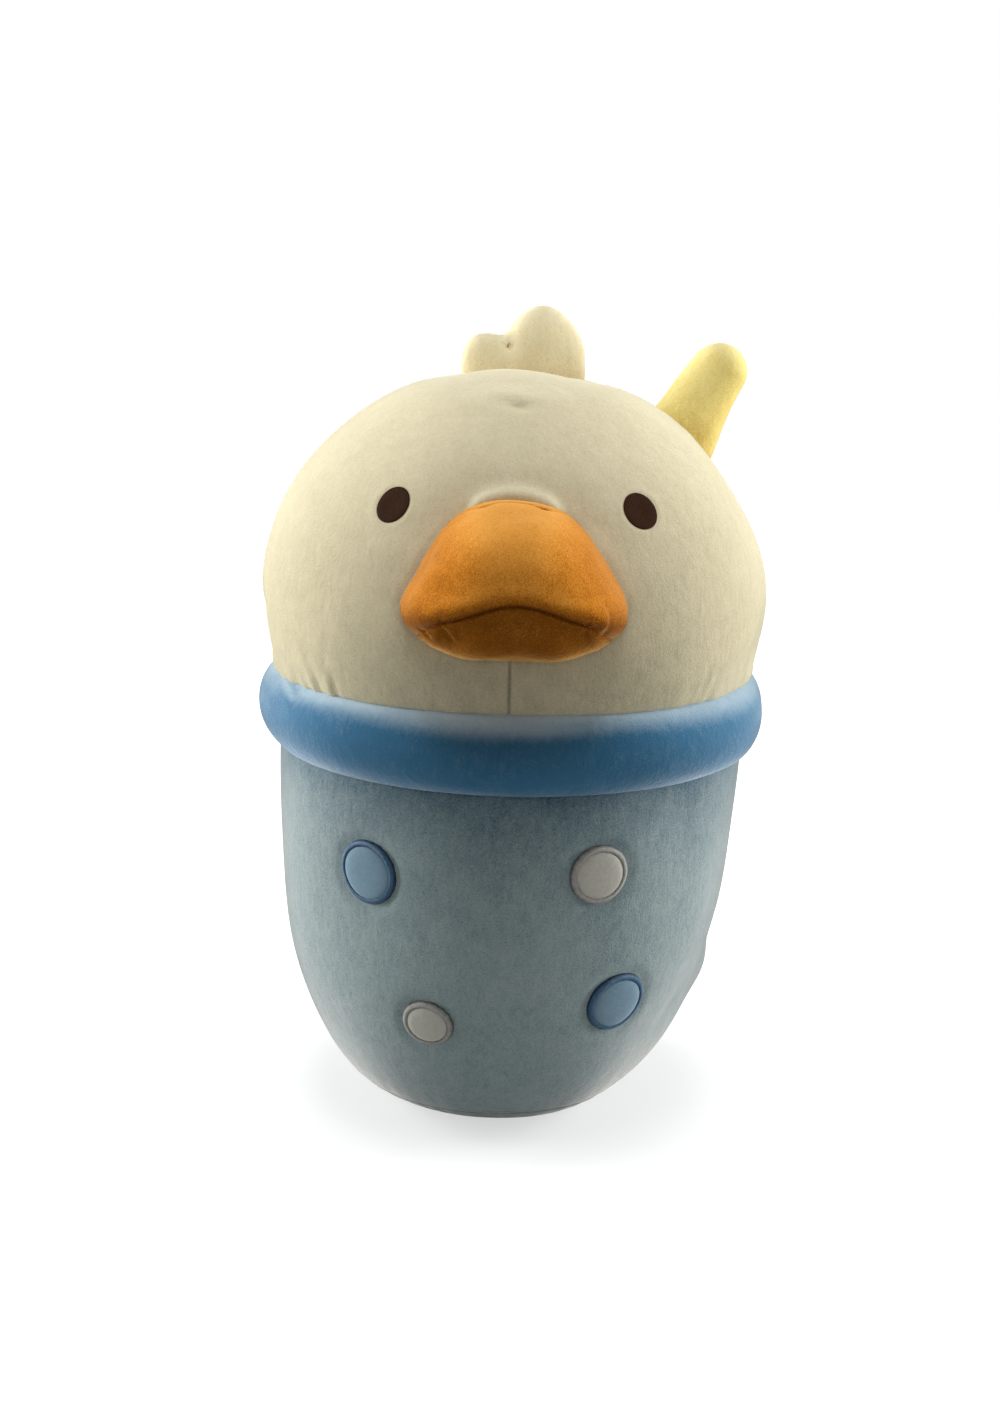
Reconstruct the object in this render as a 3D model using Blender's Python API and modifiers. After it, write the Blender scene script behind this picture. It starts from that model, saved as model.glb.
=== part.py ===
"""A stuffed plush duck whose head fills a plush drinks cup with a padded rim and a padded straw."""

import math

import bmesh
import bpy
import numpy as np
from mathutils import Matrix, Vector

mm = 0.001

# Cloth, stuffing and thread
FABRIC = 2.2 * mm
SEAT_GAP = 0.3 * mm
THREAD = 1.2 * mm
WELD = 0.02 * mm
FILL_FIT_SHARE = 1.2

# The cup: a turned bag with a well rounded foot and a flat patch that it stands on
CUP_TOP_RADIUS = 112 * mm
CUP_FOOT_RADIUS = 50 * mm
CUP_SEAM_HEIGHT = 14 * mm
FOOT_CUT = 0.5 * mm
CUP_SWELL_POWER = 2.8
CUP_FOOT_POWER = 0.67
CUP_CROWDING_POWER = 1.7

# The padded rim: a tube bent into a ring and sewn into the seam between cup and head
RIM_HEIGHT = 200 * mm
RIM_RADIUS = 100.5 * mm
RIM_TUBE_RADIUS = 21.5 * mm
RIM_SLIT = 1.4 * mm

# The head: a dome that bulges over the rim
HEAD_HALF_WIDTH = 119.5 * mm
HEAD_RISE = 107 * mm
HEAD_CENTRE_ABOVE_RIM = 50 * mm
HEAD_SEAM_BACK = 32 * mm
HEAD_TUCK = 2.8 * mm
HEAD_LOW_POWER = 2
DOME_POWER = 0.886

# The eyes: oval patches on the face
EYE_WIDTH = 14.4 * mm
EYE_HEIGHT = 15.8 * mm
EYE_THICKNESS = 1.1 * mm
EYE_TURN = 29.5
EYE_TILT = 18
EYE_RISE_SHARE = 0.49

# The bill: upper and lower panels round a stuffed core
BILL_HALF_WIDTH = 45.5 * mm
BILL_HALF_HEIGHT = 32 * mm
BILL_REACH = 50 * mm
BILL_SEAT_DEPTH = 6 * mm
BILL_RISE_SHARE = 0.238
BILL_TAPER_SHARE = 0.25
BILL_TIP_POWER = 0.9
BILL_BACK_SHARE = 0.3
MOUTH_RADIUS = 42 * mm
MOUTH_BELOW_CENTRE = 3 * mm
NOSTRIL_SPREAD = 12.5 * mm
NOSTRIL_LENGTH = 4.5 * mm
NOSTRIL_FORWARD_SHARE = 0.2

# The tuft: a flat two-lobed pad that stands behind the crown
TUFT_BACK_SHARE = 0.35
TUFT_FOOT_RADIUS = 3.5 * mm
TUFT_FOOT_TRIM = 2 * mm
TUFT_FOOT_LENGTH = 34 * mm
LEFT_LOBE_CENTRE = -13 * mm
LEFT_LOBE_HALF_WIDTH = 14.5 * mm
LEFT_LOBE_HALF_DEPTH = 8 * mm
LEFT_LOBE_HEIGHT = 20 * mm
RIGHT_LOBE_CENTRE = 11.7 * mm
RIGHT_LOBE_HALF_WIDTH = 17.5 * mm
RIGHT_LOBE_HALF_DEPTH = 9 * mm
RIGHT_LOBE_HEIGHT = 34 * mm
ROOT_LOBE_CENTRE = 0.8 * mm
ROOT_LOBE_HALF_WIDTH = 27 * mm
ROOT_LOBE_HALF_DEPTH = 7 * mm
ROOT_LOBE_HEIGHT = 17 * mm
LOBE_ROOT_SHARE = 0.28
TUFT_STITCH_LENGTH = 4 * mm
TUFT_STITCH_SHARE = 0.42

# The straw: a padded finger that leans out from behind the head
STRAW_RADIUS = 14.3 * mm
STRAW_ROOT_RADIUS = 16.8 * mm
STRAW_LENGTH = 57 * mm
STRAW_FLARE_LENGTH = 26 * mm
STRAW_FLARE_POWER = 1.6
STRAW_ROOT_SINK = 14 * mm
STRAW_ACROSS_SHARE = 0.66
STRAW_BACK_SHARE = 0.46
STRAW_LEAN = (0.58, 0.24, 0.778)

# The dots: satin-edged patches on the front of the cup
BLUE_DOT = 30.5 * mm
WHITE_DOT = 26 * mm
DOT_THICKNESS = 0.9 * mm
BORDER_WIDTH = 3 * mm
BORDER_THICKNESS = 1.5 * mm

# Facets, and the steps in which a contact or a fold is looked for
TURN_STEPS = 28
DISC_SIDES = 24
MOUTH_SIDES = 48
SEARCH_STEPS = 800

# Colours as the photograph shows them, in sRGB
CREAM = (0.90, 0.86, 0.73)
PALE_BLUE = (0.62, 0.73, 0.79)
RIM_BLUE = (0.33, 0.52, 0.68)
DOT_BLUE = (0.45, 0.63, 0.79)
BORDER_BLUE = (0.20, 0.38, 0.58)
DOT_WHITE = (0.88, 0.88, 0.86)
BORDER_GREY = (0.62, 0.62, 0.62)
ORANGE = (0.88, 0.58, 0.20)
STRAW_YELLOW = (0.91, 0.83, 0.47)
EYE_BROWN = (0.17, 0.10, 0.08)
FIBRE = (0.93, 0.93, 0.92)

# Worked out from the sizes above
SEAT_RADIUS = RIM_TUBE_RADIUS + SEAT_GAP
CUP_FORM_HEIGHT = RIM_HEIGHT - RIM_TUBE_RADIUS / 2
HEAD_CENTRE = RIM_HEIGHT + HEAD_CENTRE_ABOVE_RIM
TUFT_BACK = HEAD_HALF_WIDTH * TUFT_BACK_SHARE
STRAW_ACROSS = HEAD_HALF_WIDTH * STRAW_ACROSS_SHARE
STRAW_BACK = HEAD_HALF_WIDTH * STRAW_BACK_SHARE
OVERRUN = HEAD_HALF_WIDTH + CUP_TOP_RADIUS
FILL_FIT = FABRIC * FILL_FIT_SHARE + SEAT_GAP


def clear_scene():
    for obj in list(bpy.data.objects):
        bpy.data.objects.remove(obj, do_unlink=True)


def new_collection(name):
    made = bpy.data.collections.new(name)
    bpy.context.scene.collection.children.link(made)
    return made


def linear(colour):
    """The colour with each sRGB channel made linear."""
    return [c / 12.92 if c <= 0.04045 else ((c + 0.055) / 1.055) ** 2.4 for c in colour]


def new_material(name, colour, roughness):
    made = bpy.data.materials.new(name)
    made.use_nodes = True
    shader = made.node_tree.nodes["Principled BSDF"]
    shader.inputs["Base Color"].default_value = (*linear(colour), 1)
    shader.inputs["Roughness"].default_value = roughness
    shader.inputs["Metallic"].default_value = 0
    made.diffuse_color = (*linear(colour), 1)
    return made


def add_part(name, data, material):
    """A named sub-part: an object in the duck's collection with its own material."""
    obj = bpy.data.objects.new(name, data)
    duck.objects.link(obj)
    data.materials.append(material)
    if obj.type == "MESH":
        data.shade_smooth()
    return obj


def add_cutter(name, data):
    """A helper solid that other parts are cut by, left out of renders."""
    obj = bpy.data.objects.new(name, data)
    cutters.objects.link(obj)
    obj.hide_render = True
    obj.display_type = "WIRE"
    return obj


def bmesh_data(name, build):
    """A mesh filled by one call on a bmesh."""
    data = bpy.data.meshes.new(name)
    shape = bmesh.new()
    build(shape)
    shape.to_mesh(data)
    shape.free()
    return data


def move_points(data, rule):
    """Every vertex of the mesh moved by a rule that takes and gives an array of points."""
    points = np.empty(len(data.vertices) * 3)
    data.vertices.foreach_get("co", points)
    data.vertices.foreach_set("co", rule(points.reshape(-1, 3)).ravel())
    data.update()


def profile_data(name, points):
    """An open line of (radius, height) points in the XZ plane, ready for a Screw modifier."""
    data = bpy.data.meshes.new(name)
    corners = [(radius, 0, height) for radius, height in points]
    data.from_pydata(corners, [(i, i + 1) for i in range(len(corners) - 1)], [])
    return data


def turn(obj, steps):
    screw = obj.modifiers.new("Turn", "SCREW")
    screw.steps = steps
    screw.render_steps = steps
    screw.use_merge_vertices = True
    screw.merge_threshold = WELD
    screw.use_smooth_shade = True


def thicken(obj, thickness, outward=False):
    solidify = obj.modifiers.new("Wall", "SOLIDIFY")
    solidify.thickness = thickness
    solidify.offset = 1 if outward else -1
    solidify.use_even_offset = True


def combine(obj, other, operation):
    boolean = obj.modifiers.new(f"{operation.title()} {other.name}", "BOOLEAN")
    boolean.operation = operation
    boolean.solver = "EXACT"
    boolean.object = other


def box_data(name, low, high):
    """A box between two corners."""
    size = Vector(high) - Vector(low)
    middle = (Vector(high) + Vector(low)) / 2
    place = Matrix.Translation(middle) @ Matrix.Diagonal((*size, 1))
    return bmesh_data(name, lambda shape: bmesh.ops.create_cube(shape, size=1, matrix=place))


def sphere_data(name, around, along):
    """A unit sphere with its poles on Z."""
    return bmesh_data(
        name,
        lambda shape: bmesh.ops.create_uvsphere(shape, u_segments=around, v_segments=along, radius=1),
    )


def cylinder_data(name, radius, length, sides, place=None):
    """A cylinder along Z about the origin, or moved by the matrix given."""
    return bmesh_data(
        name,
        lambda shape: bmesh.ops.create_cone(
            shape,
            cap_ends=True,
            segments=sides,
            radius1=radius,
            radius2=radius,
            depth=length,
            matrix=place or Matrix.Identity(4),
        ),
    )


def placed(point, direction):
    """A matrix at a point with its Z along a direction and its Y as upright as it can be."""
    forward = Vector(direction).normalized()
    side = Vector((0, 0, 1)).cross(forward).normalized()
    upward = forward.cross(side)
    axes = Matrix((side, upward, forward)).transposed().to_4x4()
    return Matrix.Translation(point) @ axes


def inset(points, distance):
    """A profile moved to its inner side, with mitred corners, and with its ends kept on the axis."""
    points = np.array(points)
    steps = np.diff(points, axis=0)
    normals = np.stack([-steps[:, 1], steps[:, 0]], axis=1)
    normals /= np.linalg.norm(normals, axis=1)[:, None]
    before = np.vstack([normals[:1], normals])
    after = np.vstack([normals, normals[-1:]])
    mitre = before + after
    mitre /= (mitre * before).sum(axis=1)[:, None]
    moved = points - distance * mitre
    for end, normal in ((0, normals[0]), (-1, normals[-1])):
        if points[end, 0] == 0:
            moved[end] = (0, points[end, 1] - distance / normal[1])
    return [tuple(point) for point in moved]


def rim_arc(first, last, steps, radius):
    """Points round the rim's tube between two angles in degrees, where 0 points away from the axis."""
    angles = np.radians(np.linspace(first, last, steps + 1))
    across = RIM_RADIUS + radius * np.cos(angles)
    return list(zip(across, RIM_HEIGHT + radius * np.sin(angles)))


def rim_seat(first, last, steps):
    """Points round the rim's tube whose straight sides touch the seat circle from outside."""
    half = (last - first) / steps / 2
    outside = SEAT_RADIUS / math.cos(math.radians(half))
    corners = rim_arc(first + half, last - half, steps - 1, outside)
    ends = rim_arc(first, last, 1, SEAT_RADIUS)
    return ends[:1] + corners + ends[1:]


def rim_distance(point):
    return math.hypot(point[0] - RIM_RADIUS, point[1] - RIM_HEIGHT)


def first_contact(shape, values):
    """The first value at which a profile comes within the seat on the rim, or its nearest one."""
    near = [rim_distance(shape(value)) for value in values]
    touching = [value for value, distance in zip(values, near) if distance <= SEAT_RADIUS]
    return touching[0] if touching else values[near.index(min(near))]


def rim_angle(point):
    return math.degrees(math.atan2(point[1] - RIM_HEIGHT, point[0] - RIM_RADIUS))


def cup_point(share):
    """Radius and height of the cup at a share of its form's height."""
    swell = (1 - (1 - share) ** CUP_SWELL_POWER) ** CUP_FOOT_POWER
    radius = CUP_FOOT_RADIUS + (CUP_TOP_RADIUS - CUP_FOOT_RADIUS) * swell
    return radius, CUP_FORM_HEIGHT * share - FOOT_CUT


def dome_point(angle):
    """Radius and height of the head's dome at an angle above its widest place, in degrees."""
    turned = math.radians(angle)
    radius = HEAD_HALF_WIDTH * max(math.cos(turned), 0) ** DOME_POWER
    return radius, HEAD_CENTRE + HEAD_RISE * math.sin(turned)


def contact_angle():
    """Where the head comes down on the rim: near its top, or further out the more it overhangs."""
    overhang = (HEAD_HALF_WIDTH - HEAD_TUCK - RIM_RADIUS) / SEAT_RADIUS
    return math.degrees(math.acos(math.tanh(overhang)))


def chin_point(share):
    """Radius and height of the head below its widest place, at a share of the way in to the rim."""
    ((contact, low),) = rim_arc(contact_angle(), contact_angle(), 0, SEAT_RADIUS)
    radius = HEAD_HALF_WIDTH + (contact - HEAD_HALF_WIDTH) * share**HEAD_LOW_POWER
    return radius, HEAD_CENTRE + (low - HEAD_CENTRE) * share


def seam_angle():
    """How far from the rim's inner side the cloth edges stop, in degrees, to leave the seat gap."""
    return math.degrees(SEAT_GAP / 2 / SEAT_RADIUS)


def cup_profile():
    """Neck seam, out under the rim, down the wall, round the foot and in along the flat."""
    top = first_contact(cup_point, np.linspace(0.5, 1, SEARCH_STEPS))
    low = FOOT_CUT / CUP_FORM_HEIGHT
    under = rim_seat(seam_angle() - 180, rim_angle(cup_point(top)), 4)
    wall = [cup_point(low + (top - low) * share**CUP_CROWDING_POWER) for share in np.linspace(1, 0, 11)]
    wall[-1] = (wall[-1][0], 0)
    return under[:-1] + wall + [(0, 0)]


def head_profile():
    """Crown, down the dome, in to the rim, then back over it to the neck seam."""
    dome = [dome_point(angle) for angle in np.linspace(90, 0, 9)]
    dome[0] = (0, dome[0][1])
    chin = [chin_point(share) for share in np.linspace(0, 1, 4)]
    over = rim_seat(contact_angle(), 180 - seam_angle(), 5)
    return dome + chin[1:-1] + over


def profile_slope(profile, height):
    """Point and outward normal in (radius, height) where a profile's outer side is at a height."""
    outer = max(range(len(profile)), key=lambda i: profile[i][0])
    legs = list(zip(profile, profile[1:]))
    legs.sort(key=lambda leg: min(abs(profile.index(leg[0]) - outer), abs(profile.index(leg[1]) - outer)))
    for (r0, z0), (r1, z1) in legs:
        if min(z0, z1) <= height <= max(z0, z1) and z0 != z1:
            share = (height - z0) / (z1 - z0)
            normal = Vector((z0 - z1, r1 - r0)).normalized()
            return (r0 + (r1 - r0) * share, height), normal
    raise ValueError("no such height on the profile")


def on_turned(profile, turn_angle, height):
    """Point and outward direction on a turned surface, turned from the front towards +X in degrees."""
    (radius, height), normal = profile_slope(profile, height)
    angle = math.radians(turn_angle)
    outward = Vector((math.sin(angle), -math.cos(angle), 0))
    return outward * radius + Vector((0, 0, height)), outward * normal[0] + Vector((0, 0, normal[1]))


def core_points(profile):
    """A profile moved in by the cloth, with fewer points where it swells, and closed to the axis."""
    inner = inset(profile, FILL_FIT)
    near_rim = [rim_distance(point) < SEAT_RADIUS + RIM_TUBE_RADIUS / 5 for point in profile]
    kept = [point for i, point in enumerate(inner) if near_rim[i] or i % 2 == 0 or i == len(inner) - 1]
    if kept[0][0] > 0:
        kept.insert(0, (0, kept[0][1]))
    if kept[-1][0] > 0:
        kept.append((0, kept[-1][1]))
    return kept


def add_turned(name, points, steps, material):
    obj = add_part(name, profile_data(name, points), material)
    turn(obj, steps)
    return obj


def side_box(name, low, high):
    """A cutter that reaches past the whole toy except for the limits given."""
    corners = [[-OVERRUN, -OVERRUN, -OVERRUN], [OVERRUN, OVERRUN, HEAD_CENTRE + OVERRUN]]
    for row, given in zip(corners, (low, high)):
        for axis, value in given.items():
            row[axis] = value
    return add_cutter(name, box_data(name, *corners))


def build_cup():
    profile = cup_profile()
    seam = CUP_SEAM_HEIGHT
    side = add_turned("cup_side_panel", profile, TURN_STEPS, cloth_pale_blue)
    base = add_turned("cup_base_panel", profile, TURN_STEPS, cloth_base)
    for panel in (side, base):
        thicken(panel, FABRIC)
    combine(side, side_box("below_base_seam", {}, {2: seam + SEAT_GAP / 2}), "DIFFERENCE")
    combine(base, side_box("above_base_seam", {2: seam - SEAT_GAP / 2}, {}), "DIFFERENCE")
    add_turned("cup_filling", core_points(profile), TURN_STEPS, fibre_cup)
    return profile


def build_rim():
    slit = math.degrees(RIM_SLIT / 2 / RIM_TUBE_RADIUS)
    cover = rim_arc(180 - slit, slit - 180, 14, RIM_TUBE_RADIUS)
    thicken(add_turned("rim_cover", cover, TURN_STEPS, cloth_rim), FABRIC)
    core = rim_arc(180 - slit, slit - 180, 14, RIM_TUBE_RADIUS - FABRIC - SEAT_GAP)[::2]
    add_turned("rim_filling", core + core[:1], TURN_STEPS, fibre_rim)


def build_head():
    profile = head_profile()
    front = add_turned("head_front_panel", profile, TURN_STEPS, cloth_face)
    back = add_turned("head_back_panel", profile, TURN_STEPS, cloth_cream)
    for panel in (front, back):
        thicken(panel, FABRIC)
    combine(front, side_box("behind_head_seam", {1: HEAD_SEAM_BACK - SEAT_GAP / 2}, {}), "DIFFERENCE")
    combine(back, side_box("before_head_seam", {}, {1: HEAD_SEAM_BACK + SEAT_GAP / 2}), "DIFFERENCE")
    add_turned("head_filling", core_points(profile), TURN_STEPS, fibre_head)
    return profile


def head_cutter(profile):
    """The whole head, grown by the seat gap, that everything sewn to it is cut by."""
    grown = inset(profile, -SEAT_GAP)
    solid = add_cutter("head_room", profile_data("head_room", grown + [(0, grown[-1][1])]))
    turn(solid, TURN_STEPS)
    return solid


def build_patch(name, profile, place, shape, thickness, material):
    """A piece of cloth on a turned surface, inside an outline that is pressed along the place's Z."""
    patch = add_turned(name, inset(profile, -SEAT_GAP), TURN_STEPS, material)
    thicken(patch, thickness, outward=True)
    outline = add_cutter(name + "_outline", shape)
    outline.matrix_world = place
    combine(patch, outline, "INTERSECT")
    return patch


def build_eyes(profile):
    height = HEAD_CENTRE + HEAD_RISE * EYE_RISE_SHARE
    dome = [point for point in profile if point[1] > HEAD_CENTRE - HEAD_RISE * EYE_RISE_SHARE]
    for name, side in (("left_eye", -1), ("right_eye", 1)):
        point, outward = on_turned(profile, side * EYE_TURN, height)
        oval = Matrix.Diagonal((EYE_WIDTH / EYE_HEIGHT, 1, 1, 1))
        tilt = Matrix.Rotation(math.radians(side * EYE_TILT), 4, "Z")
        shape = cylinder_data(name, EYE_HEIGHT / 2, EYE_HEIGHT, DISC_SIDES, tilt @ oval)
        build_patch(name, dome, placed(point, outward), shape, EYE_THICKNESS, satin_brown)


def dot_table():
    """Name, turn from the front in degrees, share of the cup's height, diameter and the two cloths."""
    return (
        ("upper_left_blue_dot", -33.6, 0.735, BLUE_DOT, cloth_dot_blue, satin_blue),
        ("upper_right_white_dot", 21, 0.762, WHITE_DOT, cloth_dot_white, satin_grey),
        ("lower_left_white_dot", -20, 0.37, WHITE_DOT, cloth_dot_white, satin_grey),
        ("lower_right_blue_dot", 29.3, 0.415, BLUE_DOT, cloth_dot_blue, satin_blue),
    )


def build_dots(profile):
    wall = [point for point in profile if point[0] > CUP_FOOT_RADIUS and point[1] > CUP_SEAM_HEIGHT]
    wall = wall[wall.index(max(wall, key=lambda point: point[0])) :]
    for name, turned, share, diameter, cloth, satin in dot_table():
        point, outward = on_turned(profile, turned, CUP_FORM_HEIGHT * share)
        place = placed(point, outward)
        inner = diameter / 2 - BORDER_WIDTH
        disc = cylinder_data(name, inner - SEAT_GAP, diameter, DISC_SIDES)
        build_patch(name, wall, place, disc, DOT_THICKNESS, cloth)
        ring = cylinder_data(name + "_border", diameter / 2, diameter, DISC_SIDES)
        border = build_patch(name + "_border", wall, place, ring, BORDER_THICKNESS, satin)
        hole = add_cutter(name + "_hole", cylinder_data(name + "_hole", inner, diameter * 2, DISC_SIDES))
        hole.matrix_world = place
        combine(border, hole, "DIFFERENCE")


def bill_centre(profile):
    height = HEAD_CENTRE + HEAD_RISE * BILL_RISE_SHARE
    (radius, height), _ = profile_slope(profile, height)
    return Vector((0, BILL_SEAT_DEPTH - radius, height))


def bill_rule(points, shrink):
    """A unit sphere, its Z forward, drawn out to the bill: blunt tip, narrow top and wide lip."""
    ring = np.hypot(points[:, 0], points[:, 1])
    round_ring = np.where(ring > 0, ring, 1)
    blunt = ring**BILL_TIP_POWER
    across, upward = points[:, 0] / round_ring * blunt, points[:, 1] / round_ring * blunt
    forward = np.sign(points[:, 2]) * np.abs(points[:, 2]) ** BILL_TIP_POWER
    width = (BILL_HALF_WIDTH - shrink) * across * (1 - BILL_TAPER_SHARE * upward)
    reach = (BILL_REACH + BILL_SEAT_DEPTH - shrink) * forward
    return np.stack([width, -reach, (BILL_HALF_HEIGHT - shrink) * upward], axis=1)


def open_back(data):
    """The part of a unit sphere behind the head's surface taken away."""
    shape = bmesh.new()
    shape.from_mesh(data)
    hidden = [vertex for vertex in shape.verts if vertex.co.z < -BILL_BACK_SHARE]
    bmesh.ops.delete(shape, geom=hidden, context="VERTS")
    shape.to_mesh(data)
    shape.free()


def bill_data(name, shrink, is_open):
    """The bill's form, open at the back or closed, smaller on every side by a shrink."""
    data = sphere_data(name, 20, 12)
    if is_open:
        open_back(data)
    move_points(data, lambda points: bill_rule(points, shrink))
    return data


def build_bill(profile, head_room):
    centre = bill_centre(profile)
    mouth_height = centre.z - MOUTH_BELOW_CENTRE - MOUTH_RADIUS
    along = Matrix.Rotation(math.radians(90), 4, "X")
    upper = add_part("bill_upper_panel", bill_data("bill_upper_panel", 0, True), cloth_orange)
    lower = add_part("bill_lower_panel", bill_data("bill_lower_panel", 0, True), cloth_lip)
    core = add_part("bill_filling", bill_data("bill_filling", FILL_FIT, False), fibre_bill)
    for piece in (upper, lower, core):
        piece.location = centre
    cuts = (
        (upper, "above_mouth", MOUTH_RADIUS + SEAT_GAP / 2, "DIFFERENCE"),
        (lower, "below_mouth", MOUTH_RADIUS - SEAT_GAP / 2, "INTERSECT"),
    )
    for panel, name, radius, operation in cuts:
        thicken(panel, FABRIC)
        mouth = add_cutter(name, cylinder_data(name, radius, OVERRUN * 2, MOUTH_SIDES, along))
        mouth.location = (0, 0, mouth_height)
        combine(panel, mouth, operation)
    for piece in (upper, lower, core):
        combine(piece, head_room, "DIFFERENCE")
    return centre


def add_thread(name, points, material):
    """A short tack of thread through the points given."""
    curve = bpy.data.curves.new(name, "CURVE")
    curve.dimensions = "3D"
    curve.bevel_depth = THREAD / 2
    curve.bevel_resolution = 1
    curve.use_fill_caps = True
    line = curve.splines.new("POLY")
    line.points.add(len(points) - 1)
    for corner, point in zip(line.points, points):
        corner.co = (*point, 1)
    return add_part(name, curve, material)


def above_bill(across, forward, rise):
    """A place over the top of the bill, at shares of its half width and its reach."""
    nudge = 0.01
    shares = [(across, forward), (across + nudge, forward), (across, forward + nudge)]
    sphere = np.array([(a, math.sqrt(max(1 - a * a - f * f, 0)), f) for a, f in shares])
    here, aside, ahead = (Vector(point) for point in bill_rule(sphere, 0))
    return here + (ahead - here).cross(aside - here).normalized() * rise


def build_nostrils(centre):
    """Two tacks across the top of the bill near the face."""
    top_half_width = BILL_HALF_WIDTH * (1 - BILL_TAPER_SHARE)
    reach = NOSTRIL_LENGTH / 2 / top_half_width
    for name, side in (("left_nostril_stitch", -1), ("right_nostril_stitch", 1)):
        middle = side * NOSTRIL_SPREAD / top_half_width
        places = (middle - reach, middle, middle + reach)
        rise = SEAT_GAP + THREAD / 2
        points = [centre + above_bill(across, NOSTRIL_FORWARD_SHARE, rise) for across in places]
        add_thread(name, points, thread_orange)


def dome_height(radius):
    """Height of the head's dome at a distance from the axis."""
    flat = (radius / HEAD_HALF_WIDTH) ** (1 / DOME_POWER)
    return HEAD_CENTRE + HEAD_RISE * math.sqrt(1 - min(flat, 1) ** 2)


def tuft_lobes():
    """Centre across, half width, half depth and height above the foot of each lobe."""
    return (
        (RIGHT_LOBE_CENTRE, RIGHT_LOBE_HALF_WIDTH, RIGHT_LOBE_HALF_DEPTH, RIGHT_LOBE_HEIGHT),
        (LEFT_LOBE_CENTRE, LEFT_LOBE_HALF_WIDTH, LEFT_LOBE_HALF_DEPTH, LEFT_LOBE_HEIGHT),
        (ROOT_LOBE_CENTRE, ROOT_LOBE_HALF_WIDTH, ROOT_LOBE_HALF_DEPTH, ROOT_LOBE_HEIGHT),
    )


def lobe_axes(lobe, shrink):
    """Centre and half axes of a lobe, whose lowest part is sunk in the head."""
    across, half_width, half_depth, height = lobe
    half_height = height / (1 + LOBE_ROOT_SHARE)
    middle = height - half_height - TUFT_FOOT_RADIUS
    return (across, 0, middle), (half_width - shrink, half_depth - shrink, half_height - shrink)


def lobe_data(name, lobe, shrink):
    middle, halves = lobe_axes(lobe, shrink)
    data = sphere_data(name, 16, 10)
    move_points(data, lambda points: points * halves + middle)
    return data


def tuft_half_depth(across, height):
    """Half the tuft's depth at a place in its own frame."""
    deep = 0
    for lobe in tuft_lobes():
        (middle, _, level), (half_width, half_depth, half_height) = lobe_axes(lobe, 0)
        left = 1 - ((across - middle) / half_width) ** 2 - ((height - level) / half_height) ** 2
        deep = max(deep, half_depth * math.sqrt(max(left, 0)))
    return deep


def tuft_pivot():
    crown = dome_height(TUFT_BACK - TUFT_FOOT_RADIUS)
    return Vector((0, TUFT_BACK, crown + SEAT_GAP * 2 + TUFT_FOOT_RADIUS))


def add_lobes(kind, lobes, shrink, pivot):
    """Hidden solids of the lobes named, smaller on every side by a shrink."""
    made = []
    for number, lobe in enumerate(lobes):
        name = f"tuft_{kind}_{number}"
        made.append(add_cutter(name, lobe_data(name, lobe, shrink)))
        made[-1].location = pivot
    return made


def build_tuft(head_room):
    pivot = tuft_pivot()
    right, *others = tuft_lobes()
    forms = add_lobes("form", others, 0, pivot)
    rooms = add_lobes("room", tuft_lobes(), FABRIC, pivot)
    cores = add_lobes("core", others, FILL_FIT, pivot)
    halves = (
        ("tuft_front_panel", side_box("behind_tuft_seam", {1: TUFT_BACK - SEAT_GAP / 2}, {})),
        ("tuft_back_panel", side_box("before_tuft_seam", {}, {1: TUFT_BACK + SEAT_GAP / 2})),
    )
    for name, half in halves:
        panel = add_part(name, lobe_data(name, right, 0), cloth_tuft)
        panel.location = pivot
        for form in forms:
            combine(panel, form, "UNION")
        for cutter in (*rooms, half, head_room):
            combine(panel, cutter, "DIFFERENCE")
    core = add_part("tuft_filling", lobe_data("tuft_filling", right, FILL_FIT), fibre_tuft)
    core.location = pivot
    for form in cores:
        combine(core, form, "UNION")
    combine(core, side_box("below_tuft_core", {}, {2: pivot.z + TUFT_FOOT_TRIM}), "DIFFERENCE")
    along = Matrix.Rotation(math.radians(90), 4, "Y")
    foot_data = cylinder_data("tuft_foot", TUFT_FOOT_RADIUS, TUFT_FOOT_LENGTH, DISC_SIDES, along)
    foot = add_cutter("tuft_foot", foot_data)
    foot.location = pivot
    combine(core, foot, "UNION")
    return pivot


def build_tuft_stitch(pivot):
    """A tack in the fold between the two lobes."""
    _, (_, _, left_half) = lobe_axes(tuft_lobes()[1], 0)
    height = left_half * TUFT_STITCH_SHARE * 2
    places = np.linspace(LEFT_LOBE_CENTRE, RIGHT_LOBE_CENTRE, SEARCH_STEPS)
    fold = min(places, key=lambda across: tuft_half_depth(across, height))
    reach = TUFT_STITCH_LENGTH / 2
    beside = (fold - THREAD / 2, fold, fold + THREAD / 2)
    levels = (height - reach, height, height + reach)
    deepest = max(tuft_half_depth(across, level) for across in beside for level in levels)
    forward = deepest + SEAT_GAP + THREAD / 2
    stitch = add_thread("tuft_stitch", [(fold, -forward, level) for level in levels], thread_cream)
    stitch.location = pivot


def straw_profile(radius, root_radius, tip, root):
    """Round tip, straight side and a flare towards the root, in the straw's own frame."""
    round_tip = [
        (radius * math.sin(angle), tip - radius + radius * math.cos(angle))
        for angle in np.radians(np.linspace(0, 90, 6))
    ]
    round_tip[0] = (0, tip)
    flare_length = STRAW_ROOT_SINK + STRAW_FLARE_LENGTH
    flare_top = root + flare_length
    flare = [
        (radius + (root_radius - radius) * share**STRAW_FLARE_POWER, flare_top - flare_length * share)
        for share in (0.0, 0.34, 0.67, 1.0)
    ]
    return round_tip + flare


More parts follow.
